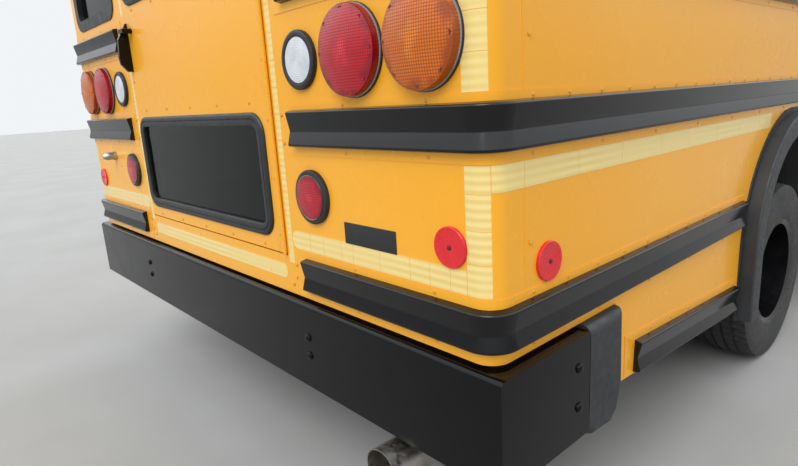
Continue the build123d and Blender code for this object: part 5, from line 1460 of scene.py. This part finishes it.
build("driver_seat_riser", [rounded_box(*block) for block in RISER], "bus", dash_plastic)

# %% [markdown]
# The roof is sheets bent over hoops. Where two sheets meet, a strip crosses the roof with a
# row of rivets on each side of it. The roof's section is a corner arc, a crown arc and
# another corner arc, so a path over it and its normals follow from the arcs' centres.

# %% The way over the roof
ROOF_TOP, ROOF_BEND = 2.850, 0.450


def roof_path(steps=12):
    """Points and normals over the roof's section at X = 0. The crown's radius makes its
    arc touch both corner arcs and pass through the roof's top."""
    flat, rise = HALF - ROOF_BEND, ROOF_TOP - ROOF_EDGE
    crown = (flat ** 2 + rise ** 2 - ROOF_BEND ** 2) / (2 * (rise - ROOF_BEND))
    meet = np.arctan2(ROOF_EDGE - (ROOF_TOP - crown), flat)
    corner, middle = np.linspace(0, meet, steps), np.linspace(meet, pi - meet, 2 * steps)[1:-1]
    arcs = ((flat, ROOF_EDGE, ROOF_BEND, corner), (0.0, ROOF_TOP - crown, crown, middle),
            (-flat, ROOF_EDGE, ROOF_BEND, pi - corner[::-1]))
    points = [np.stack([0 * angle, y + radius * np.cos(angle), z + radius * np.sin(angle)], -1)
              for y, z, radius, angle in arcs]
    turn = np.concatenate([angle for *_, angle in arcs])
    return np.concatenate(points), np.stack([0 * turn, np.cos(turn), np.sin(turn)], -1)


section, section_out = roof_path()
length = np.concatenate([[0], np.cumsum(np.linalg.norm(np.diff(section, axis=0), axis=1))])
print("way over the roof", round(length[-1], 3))

# %% [markdown]
# A seam is a flat strip swept over that path, and its rivets stand at equal steps along
# it. A drip rail runs along each eave and keeps rain off the windows.

# %% Roof seams and drip rails
ROOF_SEAMS = (0.825, 1.515, 2.090, 2.860, 3.585, 4.290)
SEAM_PROFILE = ((-SUNK, -0.014), (0.0012, -0.014), (0.0012, 0.014), (-SUNK, 0.014))
SEAM_RIVET_COUNT, SEAM_RIVET_MARGIN, SEAM_RIVET_SHIFTS = 38, 0.05, (-0.024, 0.024)
DRIP_Z, DRIP_STATIONS, DRIP_PROUD = (2.186, 2.199), (0.10, 4.385), 0.012
marks = np.linspace(SEAM_RIVET_MARGIN, length[-1] - SEAM_RIVET_MARGIN, SEAM_RIVET_COUNT)
rivet_line, rivet_out = [np.stack([np.interp(marks, length, column) for column in rows.T], -1)
                         for rows in (section, section_out)]
seam_shapes = [swept(SEAM_PROFILE, section + FORWARD * at(station), section_out,
                     np.broadcast_to(FORWARD, section.shape)) for station in ROOF_SEAMS]
seam_shapes += [band(side, *map(ahead, DRIP_STATIONS), *DRIP_Z, DRIP_PROUD) for side in BOTH]
build("roof_seams", seam_shapes, "bus", yellow_enamel)
roof_rivets = [rivet_line + FORWARD * (at(station) + shift)
               for station in ROOF_SEAMS for shift in SEAM_RIVET_SHIFTS]
roof_normals = np.concatenate([rivet_out] * len(roof_rivets))
build("roof_rivets", [stamped(rivet_head, np.concatenate(roof_rivets), roof_normals)],
      "bus", yellow_enamel)

# %% [markdown]
# Five amber marker lamps stand on the front cap. The cap is a moulding with no simple
# formula, so a ray dropped on its mesh finds each lamp's place and the surface's normal.

# %% Cap markers
CAP_MARKERS = ((4.97, 0.0), (4.95, 0.16), (4.95, -0.16), (4.86, 0.80), (4.86, -0.86))
DOME_SUNK = 0.002               # so that a level foot leaves no gap on the curved cap


def dropped(node_name, places):
    """Points and normals where level places meet a node's mesh from above."""
    tree = BVHTree.FromObject(frame["nodes"][node_name], bpy.context.evaluated_depsgraph_get())
    hits = [tree.ray_cast(Vector((x, y, 5)), Vector((0, 0, -1)))[:2] for x, y in places]
    return [np.array(column) for column in zip(*hits)]


cap_points, cap_normals = dropped("front_cap", [(at(station), y) for station, y in CAP_MARKERS])
cap_domes = stamped(turned(DOME, sides=20), cap_points - cap_normals * DOME_SUNK, cap_normals)
build("cap_markers", [cap_domes], "bus", reflector_amber)

# %% [markdown]
# Each side window is a split sash. Two spring latches sit on the lower edge of its upper
# half, and a rubber channel runs round each pane. Every pane is the same, so one latch is
# made and moved, and each channel is swept from the same profile.

# %% Window rubbers and latches
WINDOWS, FIRST_PANE, PANE_Z = 6, (0.190, 0.770), (1.530, 2.100)
LATCH_INSET, LATCH_DEPTH, LATCH_Z = 0.12, 0.042, 1.812
PANE_RUBBER = [(-0.010, -0.022), (0.004, -0.022), (0.004, -0.002), (0.0, 0.0), (-0.006, -0.004),
               (-0.010, -0.014)]
LATCH = rounded_box((-0.020, -0.006, -0.008), (0.020, 0.006, 0.008), 0.003)


def pane_loop(stations, z, radius, y, outward):
    """Rubber channel round a pane in a side wall or door: the loop across the bus, with
    its X and Y swapped."""
    path, normal = rounded_loop([at(station) for station in stations], z, radius, y)
    path, normal = path[:, [1, 0, 2]], normal[:, [1, 0, 2]]
    return swept(PANE_RUBBER, path, normal, np.broadcast_to(outward * LEFT, path.shape), loop=True)


rubbers, latches = [], []
for side in BOTH:
    for start, end in np.array(FIRST_PANE) + WINDOW_PITCH * np.arange(WINDOWS)[:, None]:
        rubbers.append(pane_loop((start, end), PANE_Z, 0.020, side * (HALF + 0.002), side))
        for station in (start + LATCH_INSET, end - LATCH_INSET):
            place = np.array([at(station), side * (HALF - LATCH_DEPTH), LATCH_Z])
            latches.append((LATCH[0] + place, LATCH[1]))
build("window_rubbers", rubbers, "bus", seal_rubber)
build("window_latches", latches, "bus", anodised_black)

# %% [markdown]
# The passenger doors close on soft rubber edges that meet in the middle, and their panes
# sit in rubber too.

# %% Entry doors
LEAVES = (("rear", (4.505, 4.870), 4.8715), ("front", (4.880, 5.245), 4.8785))     # ends, seam
LEAF_PANES, LEAF_INSET, LEAF_PROUD = ((0.405, 1.060), (1.120, 2.085)), 0.055, 0.003
EDGE_HALF, EDGE_DEPTH, EDGE_Z = 0.010, 0.020, (0.340, 2.140)
for leaf_name, (start, end), seam in LEAVES:
    shapes = [rounded_box((at(seam - EDGE_HALF), -HALF - LEAF_PROUD, EDGE_Z[0]),
                          (at(seam + EDGE_HALF), -HALF + EDGE_DEPTH, EDGE_Z[1]), 0.004)]
    for pane_z in LEAF_PANES:
        ends = (start + LEAF_INSET, end - LEAF_INSET)
        shapes.append(pane_loop(ends, pane_z, 0.025, -HALF - LEAF_PROUD, -1))
    build(f"entry_rubbers_{leaf_name}", shapes, f"entry_leaf_{leaf_name}", seal_rubber)

# %% [markdown]
# The driver's door opens by a flat pull handle with a round lock under it.

# %% Driver's door
PULL_BOXES = (                  # low and high corner, edge radius
    ((at(4.600), CAB_HALF - 0.001, 1.255), (at(4.745), CAB_HALF + 0.004, 1.315), 0.002),
    ((at(4.612), CAB_HALF + 0.003, 1.272), (at(4.733), CAB_HALF + 0.022, 1.298), 0.009),
)
LOCK = [(0, 0), (0.012, 0), (0.011, 0.004), (0.004, 0.005), (0, 0.004)]
pull_shapes = [rounded_box(*block) for block in PULL_BOXES]
pull_shapes.append(turned(LOCK, (at(4.640), CAB_HALF, 1.225), LEFT, sides=20))
build("driver_door_pull", pull_shapes, "driver_door", black_plastic)

# %% [markdown]
# The stop arm is a red octagon with a pale border, left without letters. The border is a
# thin raised ring on both faces.

# %% Stop arm's border
SIGN_CENTRE = np.array([at(4.095), 0.0, 1.250])
SIGN_FACES = ((1.262, -1), (1.268, 1))          # y, and the way the face looks
SIGN_REACH, BORDER_WIDTH, BORDER_PROUD = 0.217, 0.016, 0.0008


def octagon_frame(y, outward):
    """Flat ring of eight sides: two octagons and their copies a little further out. A
    corner's radius is the reach of a flat side divided by the cosine of half its angle."""
    angle = pi / 8 + pi / 4 * np.arange(8)
    inner = SIGN_REACH - BORDER_WIDTH
    rings = []
    for reach, lift in ((SIGN_REACH, 0.0), (SIGN_REACH, BORDER_PROUD), (inner, BORDER_PROUD), (inner, 0.0)):
        radius = reach / cos(pi / 8)
        rings.append(np.stack([radius * np.cos(angle), np.full(8, outward * lift),
                               radius * np.sin(angle)], -1) + SIGN_CENTRE + LEFT * y)
    return np.stack(rings, 1).reshape(-1, 3), [quads(8, 4, wrap_rows=True)]


build("stop_arm_border", [octagon_frame(*face) for face in SIGN_FACES], "stop_arm", white_enamel)

# %% [markdown]
# Two red lamps stand on each face of the sign, one over the other, in black rims.

# %% Stop arm's lamps
SIGN_LAMP = [(0, 0), (0.045, 0), (0.045, 0.008), (0.040, 0.015), (0.024, 0.021), (0, 0.023)]
SIGN_RIM = [(0.045, 0), (0.051, 0), (0.051, 0.007), (0.045, 0.010)]
sign_places = [(SIGN_CENTRE + np.array([0, y, height]), outward * LEFT)
               for height in (-0.145, 0.145) for y, outward in SIGN_FACES]
sign_lamps = [turned(SIGN_LAMP, *place, sides=32) for place in sign_places]
build("stop_arm_lamps", sign_lamps, "stop_arm", reflector_red)
sign_rims = [ring(SIGN_RIM, *place, 32) for place in sign_places]
build("stop_arm_rims", sign_rims, "stop_arm", black_plastic)

# %% [markdown]
# The fuel filler has a small door in the left wall, hinged on a pin at its rear edge.

# %% Fuel door
FUEL_DOOR = ((at(3.690), HALF - 0.001, 0.800), (at(3.870), HALF + 0.0035, 0.955))
FUEL_HINGE = [(0, 0), (0.0055, 0), (0.0055, 0.12), (0, 0.12)]
fuel_shapes = [rounded_box(*FUEL_DOOR, 0.002),
               turned(FUEL_HINGE, (at(3.686), HALF + 0.004, 0.818), sides=12)]
build("fuel_door", fuel_shapes, "bus", yellow_enamel)

# %% [markdown]
# A headlamp is a rounded rectangle: its bezel, its cover and the turn signal under it are
# stacks of such outlines, so one function turns a list of sizes and depths into a form.

# %% Squared dish
SQUARENESS, SQUARED_SIDES = 5.0, 64


def squared_dish(profile, centre, half):
    """Closed stack of superellipses facing forwards: each row is the share of the half
    width and height, and the distance ahead of the centre. Round a superellipse the
    cosine and the sine keep their signs, and their sizes get the power 2 / squareness."""
    turn = circle(1, SQUARED_SIDES)
    across, upward = (np.sign(turn) * np.abs(turn) ** (2 / SQUARENESS)).T
    share, depth = np.asarray(profile, float).T[:, :, None]
    points = np.stack([centre[0] + depth + 0 * across, centre[1] + half[0] * share * across,
                       centre[2] + half[1] * share * upward], -1)
    return points.reshape(-1, 3), [quads(len(profile), SQUARED_SIDES)]


print("points round a squared dish", SQUARED_SIDES)

# %% [markdown]
# Each headlamp has a moulded bezel, two bright bowls with their bulbs, and a clear cover.
# A turn signal lies under it as a low amber bar.

# %% Headlamps and turn signals
NOSE_X = at(6.500)
HEADLAMP_Y, HEADLAMP_Z, HEADLAMP_HALF = 0.665, 0.915, (0.184, 0.124)
TURN_SIGNAL_Z, TURN_SIGNAL_HALF = 0.752, (0.150, 0.022)
BEAMS, BEAM_DEPTH = (-0.088, 0.088), 0.040      # the two bowls in a headlamp
BOWL = [(0, -0.052), (1.0, -0.052), (1.0, -0.002), (0.97, -0.002), (0.93, -0.010), (0.75, -0.028),
        (0.5, -0.040), (0.25, -0.045), (0, -0.046)]
COVER = [(0, -0.0035), (0.97, -0.0045), (0.985, -0.002), (0.97, -0.0005), (0, -0.0001)]
REFLECTOR_BOWL = [(0, 0), (0.020, 0.001), (0.050, 0.010), (0.080, 0.030), (0.082, 0.030), (0.052, 0.007),
                  (0.021, -0.003), (0, -0.004)]
BULB = [(0, 0), (0.012, 0), (0.012, 0.012), (0.008, 0.020), (0, 0.023)]
TURN_SIGNAL = [(0, -0.001), (1, -0.001), (1, 0.004), (0.9, 0.008), (0, 0.010)]
bezels, cover_shapes, signal_shapes, beam_places = [], [], [], []
for side in BOTH:
    middle = (NOSE_X, side * HEADLAMP_Y, HEADLAMP_Z)
    bezels.append(squared_dish(BOWL, middle, HEADLAMP_HALF))
    cover_shapes.append(squared_dish(COVER, middle, HEADLAMP_HALF))
    signal_shapes.append(squared_dish(TURN_SIGNAL, (NOSE_X, side * HEADLAMP_Y, TURN_SIGNAL_Z),
                                      TURN_SIGNAL_HALF))
    beam_places += [(NOSE_X - BEAM_DEPTH, middle[1] + shift, HEADLAMP_Z) for shift in BEAMS]
bowl_shapes = [turned(REFLECTOR_BOWL, place, FORWARD, 40) for place in beam_places]
bulb_shapes = [turned(BULB, place, FORWARD, 16) for place in beam_places]
print("headlamps", len(bezels), "bowls", len(bowl_shapes))

# %% [markdown]
# A lamp's base is a turned ring, and each front warning lamp sits in a deep pod on the
# roof's edge. The bases and the headlamps' bezels are one piece of black plastic.

# %% Lamp bases
SEVEN_RING = [(0, 0), (0.0948, 0), (0.0948, 0.0052), (0.0938, SEVEN_BASE), (0, SEVEN_BASE)]
FOUR_RING = [(0, 0), (0.064, 0), (0.064, FOUR_BASE), (0, FOUR_BASE)]
POD = [(0, -0.330), (0.106, -0.330), (0.108, -0.326), (0.108, -0.004), (0.105, 0.0), (0.097, 0.0),
       (0.096, -0.004), (0, -0.004)]
BASES = (                       # lamps, profile, x, axis, sides
    (REAR_SEVEN_INCH, SEVEN_RING, REAR_SKIN, BACKWARD, 64),
    (REAR_FOUR_INCH, FOUR_RING, REAR_SKIN, BACKWARD, 48),
    (FRONT_WARNING, POD, WARNING_FACE, FORWARD, 56),
)
base_shapes = []
for side, bezel in zip(BOTH, bezels):
    for lamps, profile, x, axis, sides in BASES:
        base_shapes += [turned(profile, (x, side * y, z), axis, sides) for _, y, z, *_ in lamps]
    base_shapes.append(bezel)
build("lamp_housings", base_shapes, "bus", black_plastic, replaces=("lamp_bases",))
build("backup_lenses", lens_set("clear")[0], "bus", clear_lens)
build("headlamp_covers", cover_shapes, "bus", cab_glass, replaces=("lenses_clear",))
build("headlamp_bowls", bowl_shapes, "bus", mirror_silver)
build("headlamp_bulbs", bulb_shapes, "bus", clear_lens)
build("front_turn_signals", signal_shapes, "bus", reflector_amber)

# %% [markdown]
# Tubes and wires are a small circle carried along a path. The windshield is a sloping
# plane, so a place on it is given across, up the slope and off the glass.

# %% Tubes on the windshield
SHIELD_FOOT, SHIELD_HEAD = np.array([at(5.720), 0, 1.320]), np.array([at(5.290), 0, 2.060])
UP_SLOPE = (SHIELD_HEAD - SHIELD_FOOT) / np.linalg.norm(SHIELD_HEAD - SHIELD_FOOT)
SHIELD_OUT = np.array([UP_SLOPE[2], 0, -UP_SLOPE[0]])


def tube(path, radius, sides):
    """Circle carried along a path of points, square to the path's direction at each."""
    path = np.asarray(path, float)
    along = unit(np.gradient(path, axis=0))
    out = unit(np.cross(along, off_axis(along)))
    return swept(circle(radius, sides), path, out, np.cross(along, out))


def on_shield(y, up, out):
    """Point on the windshield's plane: across, up the slope and off the glass."""
    return SHIELD_FOOT + UP_SLOPE * up + SHIELD_OUT * out + np.array([0, y, 0])


print("windshield's length up its slope", round(float(np.linalg.norm(SHIELD_HEAD - SHIELD_FOOT)), 3))

# %% [markdown]
# A wiper is an arm on a capped pivot, a holder, and the blade that it presses on the
# glass. Two lie parked across the foot of the windshield.

# %% Wipers
WIPERS = ((0.110, 0.780), (-0.720, -0.050))         # y of the pivot and of the blade's tip
PIVOT_CAP = [(0, 0), (0.017, 0), (0.017, 0.016), (0.010, 0.024), (0, 0.025)]
ARM_RADIUS, HOLDER_RADIUS, BLADE_RADIUS = 0.0055, 0.0060, 0.0038
wiper_shapes = []
for pivot, tip in WIPERS:
    middle = (pivot + tip) / 2 + 0.03
    arm = ((pivot, -0.01, 0.018), ((pivot + middle) / 2, 0.045, 0.032), (middle, 0.085, 0.024))
    holder = ((pivot + 0.10, 0.082, 0.010), (middle, 0.085, 0.020), (tip, 0.088, 0.010))
    blade = ((pivot + 0.09, 0.082, 0.002), (tip + 0.01, 0.088, 0.002))
    wiper_shapes.append(turned(PIVOT_CAP, on_shield(pivot, -0.01, -0.004), SHIELD_OUT, 20))
    rods = ((arm, ARM_RADIUS, 8), (holder, HOLDER_RADIUS, 8), (blade, BLADE_RADIUS, 6))
    wiper_shapes += [tube([on_shield(*place) for place in route], radius, sides)
                     for route, radius, sides in rods]
build("wipers", wiper_shapes, "bus", black_plastic)

# %% [markdown]
# A screen of thin upright wires fills the grille's frame behind its level bars.

# %% Grille screen
WIRES, WIRE_HALF, WIRE_LENGTH_HALF = 58, 0.0012, 0.160
SCREEN_X, SCREEN_HALF, SCREEN_Z = at(6.468), 0.385, 0.890
WIRE_CORNER = np.array([WIRE_HALF, WIRE_HALF, WIRE_LENGTH_HALF])
wire = rounded_box(-WIRE_CORNER, WIRE_CORNER, 0.0005, 1)
wires = [(SCREEN_X, y, SCREEN_Z) for y in np.linspace(-SCREEN_HALF, SCREEN_HALF, WIRES)]
build("grille_screen", [stamped(wire, wires, UP)], "bus", black_plastic)

# %% [markdown]
# The mirror heads get silvered glass: flat panes in the tall heads and shallow domes in the
# ones on the fenders, which show the driver the ground ahead of the bumper.

# %% Mirror glass
MIRROR_X, MIRROR_Y, MIRROR_PANES = (5.5588, 5.5605), (1.192, 1.358), ((1.345, 1.520), (1.532, 1.686))
FENDER_MIRROR, DOME_RADIUS, DOME_RISE = (6.3902, 0.930, 1.530), 0.099, 0.030
dome_mirror = [(0, 0.0)] + [(DOME_RADIUS * share, 0.001 + DOME_RISE * (1 - share ** 2))
                            for share in np.linspace(1, 0, 9)]
pane_shapes = []
for side in BOTH:
    right, left = sorted(side * y for y in MIRROR_Y)
    back, front = map(at, MIRROR_X)
    pane_shapes += [rounded_box((back, right, low), (front, left, high), 0.0008)
                    for low, high in MIRROR_PANES]
    station, y, z = FENDER_MIRROR
    pane_shapes.append(turned(dome_mirror, (at(station), side * y, z), BACKWARD, 40))
build("mirror_glass", pane_shapes, "bus", mirror_silver)

# %% [markdown]
# Inside, the driver reads four round dials under a hood, blank here, and air comes from
# three vents.

# %% Dashboard
DIAL = [(0, 0), (0.040, 0), (0.040, 0.006), (0.036, 0.008), (0.034, 0.003), (0, 0.003)]
DIAL_Y, DIAL_Z = (0.375, 0.465, 0.555, 0.645), 1.270
VENT_Y, VENT_HALF = (-0.450, -0.150, 0.120), 0.075
hood_shapes = [rounded_box((at(5.272), 0.320, 1.190), (at(5.400), 0.700, 1.345), 0.020, 4)]
hood_shapes += [rounded_box((at(5.283), y - VENT_HALF, 1.215), (at(5.300), y + VENT_HALF, 1.262), 0.006)
                for y in VENT_Y]
build("instrument_hood", hood_shapes, "bus", dash_plastic)
dials = [(at(5.2725), y, DIAL_Z) for y in DIAL_Y]
build("dials", [stamped(turned(DIAL, sides=32), dials, BACKWARD)], "bus", black_plastic)

# %% [markdown]
# Each edge of the entrance steps has a yellow strip, bent over it, that shows it in bad
# light.

# %% Step edges
STEP_EDGES = ((0.340, 1.150), (0.545, 0.912), (0.750, 0.672))       # height, place across
EDGE_PROFILE = ((-0.0025, -0.022), (0.0, -0.022), (0.0, 0.0), (0.035, 0.0), (0.035, 0.0025),
                (-0.0025, 0.0025))
STEP_STATIONS = (4.516, 5.234)
edge_shapes = []
for height, across in STEP_EDGES:
    path = np.array([(at(station), -across, height) for station in STEP_STATIONS])
    edge_shapes.append(swept(EDGE_PROFILE, path, np.array([LEFT, LEFT]), np.array([UP, UP])))
build("step_edges", edge_shapes, "bus", yellow_enamel)

# %% [markdown]
# Passengers hold a bright tube that is fixed to the floor and to the door post, with one
# bend between. A flange covers each end.

# %% Grab rail
RAIL_X, RAIL_BEND, RAIL_RADIUS = at(4.470), 0.080, 0.0125
RAIL_FOOT, RAIL_END = (RAIL_X, -0.640, 0.750), (RAIL_X, -1.155, 1.420)
RAIL_FLANGE = [(0, 0), (0.032, 0), (0.032, 0.005), (0.016, 0.008), (0, 0.008)]
turn = np.linspace(0, pi / 2, 7)
bend = np.stack([0 * turn, np.cos(turn), np.sin(turn)], -1) * RAIL_BEND
bend_centre = (RAIL_X, RAIL_FOOT[1] - RAIL_BEND, RAIL_END[2] - RAIL_BEND)
rail_path = np.concatenate([[RAIL_FOOT, (RAIL_X, RAIL_FOOT[1], 1.320)], bend_centre + bend,
                            [(RAIL_X, -0.760, RAIL_END[2]), RAIL_END]])
rail_shapes = [tube(rail_path, RAIL_RADIUS, 16), turned(RAIL_FLANGE, RAIL_FOOT, UP, 20),
               turned(RAIL_FLANGE, RAIL_END, LEFT, 20)]
build("entrance_rail", rail_shapes, "bus", zinc_plate)
